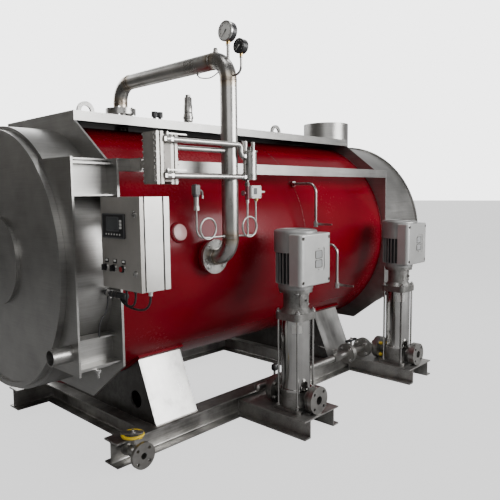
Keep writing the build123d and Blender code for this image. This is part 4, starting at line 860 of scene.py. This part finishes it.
legendTrim = {"rows": (-879, -943, -1009), "plateZ": 1124, "plate": (28, 19, 1.6, 2, 0.5), "fieldX": -141.6,
              "fieldZ": 1126, "field": (18, 9, 0.5, 1, 0.2), "pointerX": -170.1, "pointerZ": 1101,
              "pointer": (2.6, 9, 0.5, 0.8, 0.2)}
face, glassFace = doorTrim["face"], displayTrim["face"]
screen = (glassFace, *displayTrim["screen"])
wide, high = displayTrim["screenSize"]
band = displayTrim["band"]
bm = bmesh.new()
border(bm, (glassFace, *displayTrim["middle"]), toFront, *displayTrim["frame"])
border(bm, screen, toFront, wide + 2 * band, high + 2 * band, band, displayTrim["bandDepth"],
       displayTrim["bandCorner"])
newPiece("display_frame", bm, "door", "bezel")
bm = bmesh.new()
tile(bm, screen, toFront, wide, high, *displayTrim["screenPlate"])
newPiece("display_glass", bm, "door", "screen")
bm = bmesh.new()
for z in displayTrim["keys"]:
    tile(bm, (glassFace, displayTrim["keyY"], z), toFront, *displayTrim["key"])
for k in range(displayTrim["dots"]):
    y = displayTrim["dotY"] - displayTrim["dotStep"] * k
    lathe(bm, (glassFace, y, displayTrim["dotZ"]), toFront, displayTrim["dot"], 14)
newPiece("display_keys", bm, "door", "pale")
bm = bmesh.new()
for y in legendTrim["rows"]:
    tile(bm, (legendTrim["fieldX"], y, legendTrim["fieldZ"]), toFront, *legendTrim["field"])
for y in doorTrim["selectors"]:
    tile(bm, (legendTrim["pointerX"], y, legendTrim["pointerZ"]), toFront, *legendTrim["pointer"])
newPiece("legend_fields", bm, "door", "dial")
bm = bmesh.new()
for y in legendTrim["rows"]:
    tile(bm, (face, y, legendTrim["plateZ"]), toFront, *legendTrim["plate"])
newPiece("legend_plates", bm, "door", "black")
bm = bmesh.new()
for y in (*doorTrim["selectors"], doorTrim["buttonY"]):
    lathe(bm, (face, y, doorTrim["controlZ"]), toFront, doorTrim["ring"], 28)
newPiece("control_rings", bm, "door", "bolt")
bm = bmesh.new()
for z in doorTrim["locks"]:
    lathe(bm, (face, doorTrim["lockY"], z), toFront, doorTrim["collar"], 28)
newPiece("lock_collars", bm, "door", "bolt")
bm = bmesh.new()
lathe(bm, (face, doorTrim["buttonY"], doorTrim["controlZ"]), toFront, doorTrim["button"], 28)
newPiece("stop_button", bm, "door", "signal")

# door gasket
gasketTrim = {"middle": (-115.2, -989.5, 1203), "size": (265, 372), "band": 10, "depth": 5.2, "corner": 8}
bm = bmesh.new()
border(bm, gasketTrim["middle"], toFront, *gasketTrim["size"], gasketTrim["band"], gasketTrim["depth"],
       gasketTrim["corner"])
newPiece("door_gasket", bm, "boiler", "black")

# ribbed cable sleeve below the cabinet, its ties and clip
sleeveTrim = {"x": -45, "y": -880, "z": 945, "length": 168, "ribs": 42, "wide": 15, "narrow": 13.4}
tieTrim = {"places": (-812, -780), "wide": 5, "band": [(14, 0), (16.6, 0), (16.6, 5), (14, 5)], "headZ": 929,
           "head": (8, 6, 4, 1, 0.4)}
clipTrim = {"y": -754, "band": [(15.2, 0), (16.8, 0), (16.8, 24), (15.2, 24)], "foot": (-22.5, -742, 943.5),
            "footPlate": (45, 24, 3, 2, 0.5)}
x, z = sleeveTrim["x"], sleeveTrim["z"]
bm = bmesh.new()
for y in tieTrim["places"]:
    lathe(bm, (x, y - tieTrim["wide"] / 2, z), toFar, tieTrim["band"], 28)
    tile(bm, (x, y, tieTrim["headZ"]), downward, *tieTrim["head"])
newPiece("cable_ties", bm, "boiler", "union")
bm = bmesh.new()
ribPitch = sleeveTrim["length"] / sleeveTrim["ribs"]
profile = [(0, 0)]
for k in range(sleeveTrim["ribs"]):
    profile += [(sleeveTrim["narrow"], ribPitch * k), (sleeveTrim["wide"], ribPitch * (k + 0.3)),
                (sleeveTrim["wide"], ribPitch * (k + 0.7))]
profile += [(sleeveTrim["narrow"], sleeveTrim["length"]), (0, sleeveTrim["length"])]
lathe(bm, (x, sleeveTrim["y"], z), toFar, profile, 24)
sleeve = newPiece("cable_sleeve", bm, "boiler", "black", 50)
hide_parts("cable_leads")
bm = bmesh.new()
lathe(bm, (x, clipTrim["y"], z), toFar, clipTrim["band"], 32)
tile(bm, clipTrim["foot"], upward, *clipTrim["footPlate"])
newPiece("sleeve_clip", bm, "boiler", "bolt")

# leads that hang from the glands, and the earth lead: radius and points in millimetres, length in metres
leadRoutes = {
    "lead_short": {"radius": 5, "length": 0.118, "points": [
        (-65.5, -913, 977), (-65.5, -913, 915), (-45, -868, 915), (-45, -868, 945)]},
    "lead_middle": {"radius": 5, "length": 0.198, "points": [
        (-65.5, -983, 977), (-65.5, -983, 907), (-45, -850, 907), (-45, -850, 945)]},
    "lead_long": {"radius": 5, "length": 0.324, "points": [
        (-65.5, -1093, 977), (-65.5, -1093, 899), (-45, -830, 899), (-45, -830, 945)]},
    "earth_lead": {"radius": 3.5, "length": 0.224, "points": [
        (-45, -722, 945), (-45, -722, 856), (-100, -722, 816), (-100, -722, 735)]},
}
for name, lead in leadRoutes.items():
    line = bpy.data.curves.new(name, "CURVE")
    line.dimensions = "3D"
    route = line.splines.new("NURBS")
    route.points.add(len(lead["points"]) - 1)
    for control, point in zip(route.points, lead["points"]):
        control.co = (*at(*point), 1)
    route.order_u = 3
    route.use_endpoint_u = True
    line.resolution_u = 24
    line.bevel_depth = lead["radius"] / perMetre
    line.bevel_resolution = 4
    line.use_fill_caps = True
    line.materials.append(finishes["black"])
    made = bpy.data.objects.new(name, line)
    bpy.context.collection.objects.link(made)
    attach(made, "boiler")
    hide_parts("cable_leads")
print("leads hung:", len(leadRoutes))

# bolts under the arm's shelf and the clip: seat, thread, washer and thread end
armBolts = [((-110, -720, 579), 14, True, 26), ((-45, -742, 929), 8, True, 0)]
bm = bmesh.new()
for seat, size, washer, end in armBolts:
    hexBolt(bm, seat, downward, size, washer, end)
newPiece("arm_bolts", bm, "boiler", "bolt")
print("cabinet trim done")

# weld beads: red ones on the shell, bright ones on pipes and steelwork
weldTrim = {"ripple": 0.16, "seatBead": 3.4, "seatOver": 1,
            "seats": [(602, 1066, 46), (1479, 1472, 20.5), (1555, 1067, 20.5)],  # x, z, reach
            "rings": [(layout["seamX"], -0.8, 2.4, 0.12), (20, 1, 6, 0.16), (2476, 1, 6, 0.16)]}
pipeWeld = {"bead": 1.3, "reach": 44.2, "ripple": 0.3, "off": 3.4,
            "flanges": [((602, 82, 1964), upward), ((602, 82, 1849), upward)]}
lugWeld = {"middles": (300, 2036), "half": 57, "side": 9, "z": 1848, "bead": 3.4, "step": 3}
saddleWeld = {"side": 618, "corner": 616, "back": 530, "off": 1, "bead": 4, "step": 4}
bracketWeld = {"out": 166, "top": (-646, 113), "foot": (-648, 20), "bead": 3.6, "step": 4}
beadSides = 6


def onShell(x, z, over):  # near side of the shell at a height
    return (x, -math.sqrt((layout["shell"] + over) ** 2 - (z - layout["axisZ"]) ** 2), z)


def ringBead(bm, points, bead, ripple):
    tube(bm, points, bead, beadSides, True, ripple)


def lineBead(bm, first, last, weld):
    tube(bm, straight(first, last, weld["step"]), weld["bead"], beadSides, False, weldTrim["ripple"])


bm = bmesh.new()
for x, over, bead, ripple in weldTrim["rings"]:  # over is past the shell's radius
    ringBead(bm, circle((x, 0, layout["axisZ"]), toRear, layout["shell"] + over, 420), bead, ripple)
for x, z, reach in weldTrim["seats"]:
    spokes = [(reach * math.cos(a), reach * math.sin(a)) for a in turnAngles(60)]
    ring = [onShell(x + aside, z + up, weldTrim["seatOver"]) for aside, up in spokes]
    ringBead(bm, ring, weldTrim["seatBead"], weldTrim["ripple"])
newPiece("shell_weld_beads", bm, "boiler", "red", 60)
bm = bmesh.new()
for place, axis in columnWelds + pipeWeld["flanges"]:
    for side in signs:
        middle = Vector(place) + Vector(axis) * side * pipeWeld["off"]
        ringBead(bm, circle(middle, axis, pipeWeld["reach"], 90), pipeWeld["bead"], pipeWeld["ripple"])
for x in lugWeld["middles"]:
    for side in signs:
        y, z = side * lugWeld["side"], lugWeld["z"]
        lineBead(bm, (x - lugWeld["half"], y, z), (x + lugWeld["half"], y, z), lugWeld)
for middle in layout["saddleX"]:
    front, rear = middle - layout["saddleHalf"], middle + layout["saddleHalf"]
    z = layout["skidTop"]
    for side in signs:
        y = side * saddleWeld["side"]
        lineBead(bm, (front, y, z), (rear, y, z), saddleWeld)
        x = front - saddleWeld["off"]
        lineBead(bm, (x, side * saddleWeld["corner"], z), (x, side * saddleWeld["back"], z), saddleWeld)
for middle in layout["pumpX"]:
    for side in signs:
        x = middle + side * bracketWeld["out"]
        lineBead(bm, (x, *bracketWeld["top"]), (x, *bracketWeld["foot"]), bracketWeld)
newPiece("steel_weld_beads", bm, "boiler", "fitting", 60)
# near-black plates over the saddles' open bottoms, as painted shade so the floor does not show through them
basePlate = (276, 1196, 3, 4, 0.5)  # width, length, depth, corner, soft edge
bm = bmesh.new()
for x in layout["saddleX"]:
    tile(bm, (x, 0, layout["skidTop"]), upward, *basePlate)
newPiece("saddle_bottom_shade_plates", bm, "boiler", "shadeSteel")
print("welds done")

# capped boss on the shell: a disc inside a rounded red ring; the disc's pale pink colour is a painted
# highlight
bossTrim = {"x": 398, "z": 1208, "rise": 17, "disc": 44, "ring": 50}
tilt = math.asin((bossTrim["z"] - layout["axisZ"]) / layout["shell"])
out = Vector((0, -math.cos(tilt), math.sin(tilt)))
foot = Vector((bossTrim["x"], 0, layout["axisZ"])) + out * layout["shell"]
rise, disc, r = bossTrim["rise"], bossTrim["disc"], bossTrim["ring"]
bm = bmesh.new()
lathe(bm, foot, out, [(disc, 2), (disc, rise), (disc - 6, rise + 2), (0, rise + 2.4)], 40)
newPiece("boss_disc", bm, "boiler", "bossHighlight")
bm = bmesh.new()
lip = [(r - 1, 10), (r - 4, 9), (r - 5.8, 6), (r - 5.8, 0)]
lathe(bm, foot, out, [(r + 8, -6), (r + 6.5, 2), (r + 3, 7.5)] + lip, 48)
newPiece("boss_ring", bm, "boiler", "red", 60)

# stub dome on the column and the thin capillary below it
capillaryTrim = {"dome": (602, -816, 2150),
                 "domeProfile": [(15, 0), (15, 12), (12, 13), (12, 24), (9, 31), (0, 34)],
                 "nut": (602, -674, 2064), "nutProfile": [(8, -6), (8, 4), (6, 8), (6, 14)], "radius": 3.2,
                 "line": [(602, -674, 2066), (602, -690, 2046), (602, -770, 2034), (602, -833, 2052),
                          (602, -856, 2070)]}
bm = bmesh.new()
lathe(bm, capillaryTrim["dome"], upward, capillaryTrim["domeProfile"], 20)
tube(bm, smoothLine(capillaryTrim["line"], 8), capillaryTrim["radius"], 8)
lathe(bm, capillaryTrim["nut"], upward, capillaryTrim["nutProfile"], 6)
newPiece("column_capillary", bm, "boiler", "fitting")

# transmitter's plug: knurled nut, plate, lid with its screw, and grip ribs
plugTrim = {"nutZ": 1395, "nut": [(13, 0), (16.4, 1), (16.4, 12), (13, 13)], "flute": 0.05, "plateZ": 1409,
            "plate": (36.6, 36.6, 3.4, 7, 0.8), "lidZ": 1454, "lid": (31, 31, 5, 8, 2), "screwZ": 1458.5,
            "screw": [(6, 0), (6, 2), (5, 3), (1.6, 3), (1.6, 1.6), (0, 1.6)], "ribs": (1420, 1427, 1434),
            "ribOut": 16.6, "rib": (20, 2.4, 1.4, 1, 0.4)}
bm = bmesh.new()
x, y = layout["plug"]
lathe(bm, (x, y, plugTrim["nutZ"]), upward, plugTrim["nut"], 36, plugTrim["flute"])
tile(bm, (x, y, plugTrim["plateZ"]), upward, *plugTrim["plate"])
tile(bm, (x, y, plugTrim["lidZ"]), upward, *plugTrim["lid"])
lathe(bm, (x, y, plugTrim["screwZ"]), upward, plugTrim["screw"], 16)
for side in signs:
    for z in plugTrim["ribs"]:
        tile(bm, (x, y + side * plugTrim["ribOut"], z), (0, side, 0), *plugTrim["rib"])
newPiece("transmitter_plug_trim", bm, "boiler", "bezel")

# knob of the header's vent and grips of the two caps on the top plate
knobTrim = {"foot": (1162, -732, 268), "flute": 0.06,
            "profile": [(14, 0), (20.5, 6), (21.5, 16), (20.5, 34), (15, 41), (0, 42)]}
gripTrim = {"feet": [(808, 0, 1922), (852, 0, 1922)], "flute": 0.05,
            "profile": [(17, 0), (20.4, 2), (20.4, 30), (18, 35.6), (0, 36.2)]}
bm = bmesh.new()
lathe(bm, knobTrim["foot"], upward, knobTrim["profile"], 28, knobTrim["flute"])
for place in gripTrim["feet"]:
    lathe(bm, place, upward, gripTrim["profile"], 36, gripTrim["flute"])
newPiece("vent_knob_and_caps", bm, "boiler", "black")

# turned sleeve and collar of the safety valve
safetyTrim = {"foot": (1100, 0, 1977), "collarFoot": (1100, 0, 1912),
              "sleeve": [(25, 0), (30, 3), (30, 52), (27.5, 56), (27.5, 98), (25, 104), (18, 108), (18, 118),
                         (15, 121), (0, 121.5)],
              "collar": [(33, 22), (36, 25), (36, 38), (33, 41)]}
bm = bmesh.new()
lathe(bm, safetyTrim["foot"], upward, safetyTrim["sleeve"], 32)
lathe(bm, safetyTrim["collarFoot"], upward, safetyTrim["collar"], 32)
newPiece("safety_valve_sleeve", bm, "boiler", "fitting")

# plate, hub and nut of the drain handle
drainTrim = {"plateFoot": (105, -664, 176), "plate": (118, 46, 6, 18, 1.8), "spin": -46, "hubZ": 181,
             "hub": [(19, 0), (19, 3), (17, 5), (0, 5)], "nutZ": 186, "nut": 9}
bm = bmesh.new()
tile(bm, drainTrim["plateFoot"], upward, *drainTrim["plate"], drainTrim["spin"])
lathe(bm, (*layout["drain"], drainTrim["hubZ"]), upward, drainTrim["hub"], 28)
hexBolt(bm, (*layout["drain"], drainTrim["nutZ"]), upward, drainTrim["nut"])
newPiece("drain_handle_plate", bm, "drain_handle", "cast")

# bare plates on the pump barrels, wrapped to their curve
plateTrim = {"inner": 87.5, "outer": 89, "low": 590, "high": 640, "from": 205, "to": 242, "parts": 8}
bm = bmesh.new()
for x in layout["pumpX"]:
    rows = []
    for height in (plateTrim["low"], plateTrim["high"]):
        row = []
        for k in range(plateTrim["parts"] + 1):
            turned = (plateTrim["to"] - plateTrim["from"]) * k / plateTrim["parts"]
            angle = math.radians(plateTrim["from"] + turned)
            for radius in (plateTrim["inner"], plateTrim["outer"]):
                place = at(x + radius * math.cos(angle), pumpY + radius * math.sin(angle), height)
                row.append(bm.verts.new(place))
        rows.append(row)
    low, high = rows
    for k in range(0, 2 * plateTrim["parts"], 2):
        bm.faces.new((low[k + 1], low[k + 3], high[k + 3], high[k + 1]))
        bm.faces.new((high[k], high[k + 1], high[k + 3], high[k + 2]))
        bm.faces.new((low[k], low[k + 2], low[k + 3], low[k + 1]))
    for k in (0, 2 * plateTrim["parts"]):
        bm.faces.new((low[k], low[k + 1], high[k + 1], high[k]))
newPiece("barrel_plates", bm, "boiler", "sheet")

# pressure switch: lid screws, scale window and the brass union below it
switchTrim = {"y": -989, "columns": (696, 756), "rows": (1394, 1446), "window": (718, -989, 1424),
              "screw": [(3.4, 0), (3.4, 1.4), (2.6, 2), (0, 2)], "plate": (26, 34, 0.9, 3, 0.4),
              "unionTop": (740, -974, 1386), "union": [(10, 0), (10, 9), (8, 10), (8, 16), (5.4, 16)]}
bm = bmesh.new()
for x in switchTrim["columns"]:
    for z in switchTrim["rows"]:
        lathe(bm, (x, switchTrim["y"], z), toNear, switchTrim["screw"], 12)
tile(bm, switchTrim["window"], toNear, *switchTrim["plate"])
newPiece("switch_trim", bm, "boiler", "bezel")
bm = bmesh.new()
lathe(bm, switchTrim["unionTop"], downward, switchTrim["union"], 6)
newPiece("switch_union", bm, "boiler", "brass")

# nut on the feed valve's handle
feedNut = {"seat": (2058, -732, 292), "size": 12, "end": 3}
bm = bmesh.new()
hexBolt(bm, feedNut["seat"], upward, feedNut["size"], True, feedNut["end"])
newPiece("feed_handle_nut", bm, "feed_handle", "bolt")
print("small parts done")

# studio: pale floor, soft light
studio = {"floorSize": 160, "floorColour": (rgb(0.34, 0.34, 0.34), rgb(0.37, 0.37, 0.37)), "strength": 1.0,
          "hall": rgb(0.13, 0.13, 0.13), "dark": rgb(0.125, 0.115, 0.104), "back": rgb(0.8, 0.8, 0.8),
          "seen": rgb(4.0, 4.0, 4.0), "floorLit": rgb(2.4, 2.4, 2.4), "floorShare": 0.55,
          "darkFrom": (0.10, 0.95), "backFrom": (0.55, 1.15)}
floorMesh = bpy.data.meshes.new("floor")
half = studio["floorSize"] / 2
corners = [(-half, -half, 0), (half, -half, 0), (half, half, 0), (-half, half, 0)]
floorMesh.from_pydata(corners, [], [(0, 1, 2, 3)])
floor = bpy.data.objects.new("floor", floorMesh)
bpy.context.collection.objects.link(floor)
floorFinish, start, place = newFinish("pale_floor")
pale = place.noise(3, 2).mix(*studio["floorColour"])
matt = start.node("ShaderNodeBsdfDiffuse", None, {"Color": pale})
lit = start.node("ShaderNodeEmission", None, {"Color": studio["floorLit"], "Strength": 1.0})
eye = start.node("ShaderNodeLightPath", None, None, "Is Camera Ray") * studio["floorShare"]
surface = start.node("ShaderNodeMixShader", None, {0: eye, 1: matt, 2: lit})
start.node("ShaderNodeOutputMaterial", None, {"Surface": surface})
floorMesh.materials.append(floorFinish)

world = bpy.data.worlds.new("studio")
bpy.context.scene.world = world
world.use_nodes = True
world.node_tree.nodes.clear()
start = Wire(world.node_tree)
way = start.node("ShaderNodeTexCoord", None, None, "Generated")
shade = (way.axis("Y") - way.axis("X")).between(*studio["darkFrom"])  # the unlit end of the hall
wall = (way.axis("Y") + way.axis("X")).between(*studio["backFrom"])  # the pale wall behind
sky = wall.mix(shade.mix(studio["hall"], studio["dark"]), studio["back"])
sky = start.node("ShaderNodeLightPath", None, None, "Is Camera Ray").mix(sky, studio["seen"])
glow = start.node("ShaderNodeBackground", None, {"Color": sky, "Strength": studio["strength"]})
start.node("ShaderNodeOutputWorld", None, {"Surface": glow})

lights = {
    "key": {"place": (3700, -5900, 2700), "aim": (1100, -500, 900), "size": (4.5, 2.6), "power": 540},
    "top": {"place": (1500, -1200, 5200), "aim": (1300, -200, 1000), "size": (5.0, 1.0), "power": 85},
    "rear": {"place": (1400, 5600, 4200), "aim": (1200, 600, 1000), "size": (6.0, 3.0), "power": 260},
    "fill": {"place": (-2600, -4600, 3600), "aim": (900, -500, 900), "size": (4.8, 3.2), "power": 105},
}
for name, setup in lights.items():
    lamp = bpy.data.lights.new(name, "AREA")
    lamp.shape = "RECTANGLE"
    lamp.size, lamp.size_y = setup["size"]
    lamp.energy = setup["power"]
    lampObject = bpy.data.objects.new(name, lamp)
    bpy.context.collection.objects.link(lampObject)
    lampObject.location = at(*setup["place"])
    lampObject.rotation_euler = (at(*setup["aim"]) - lampObject.location).to_track_quat("-Z", "Y").to_euler()
print("studio ready")
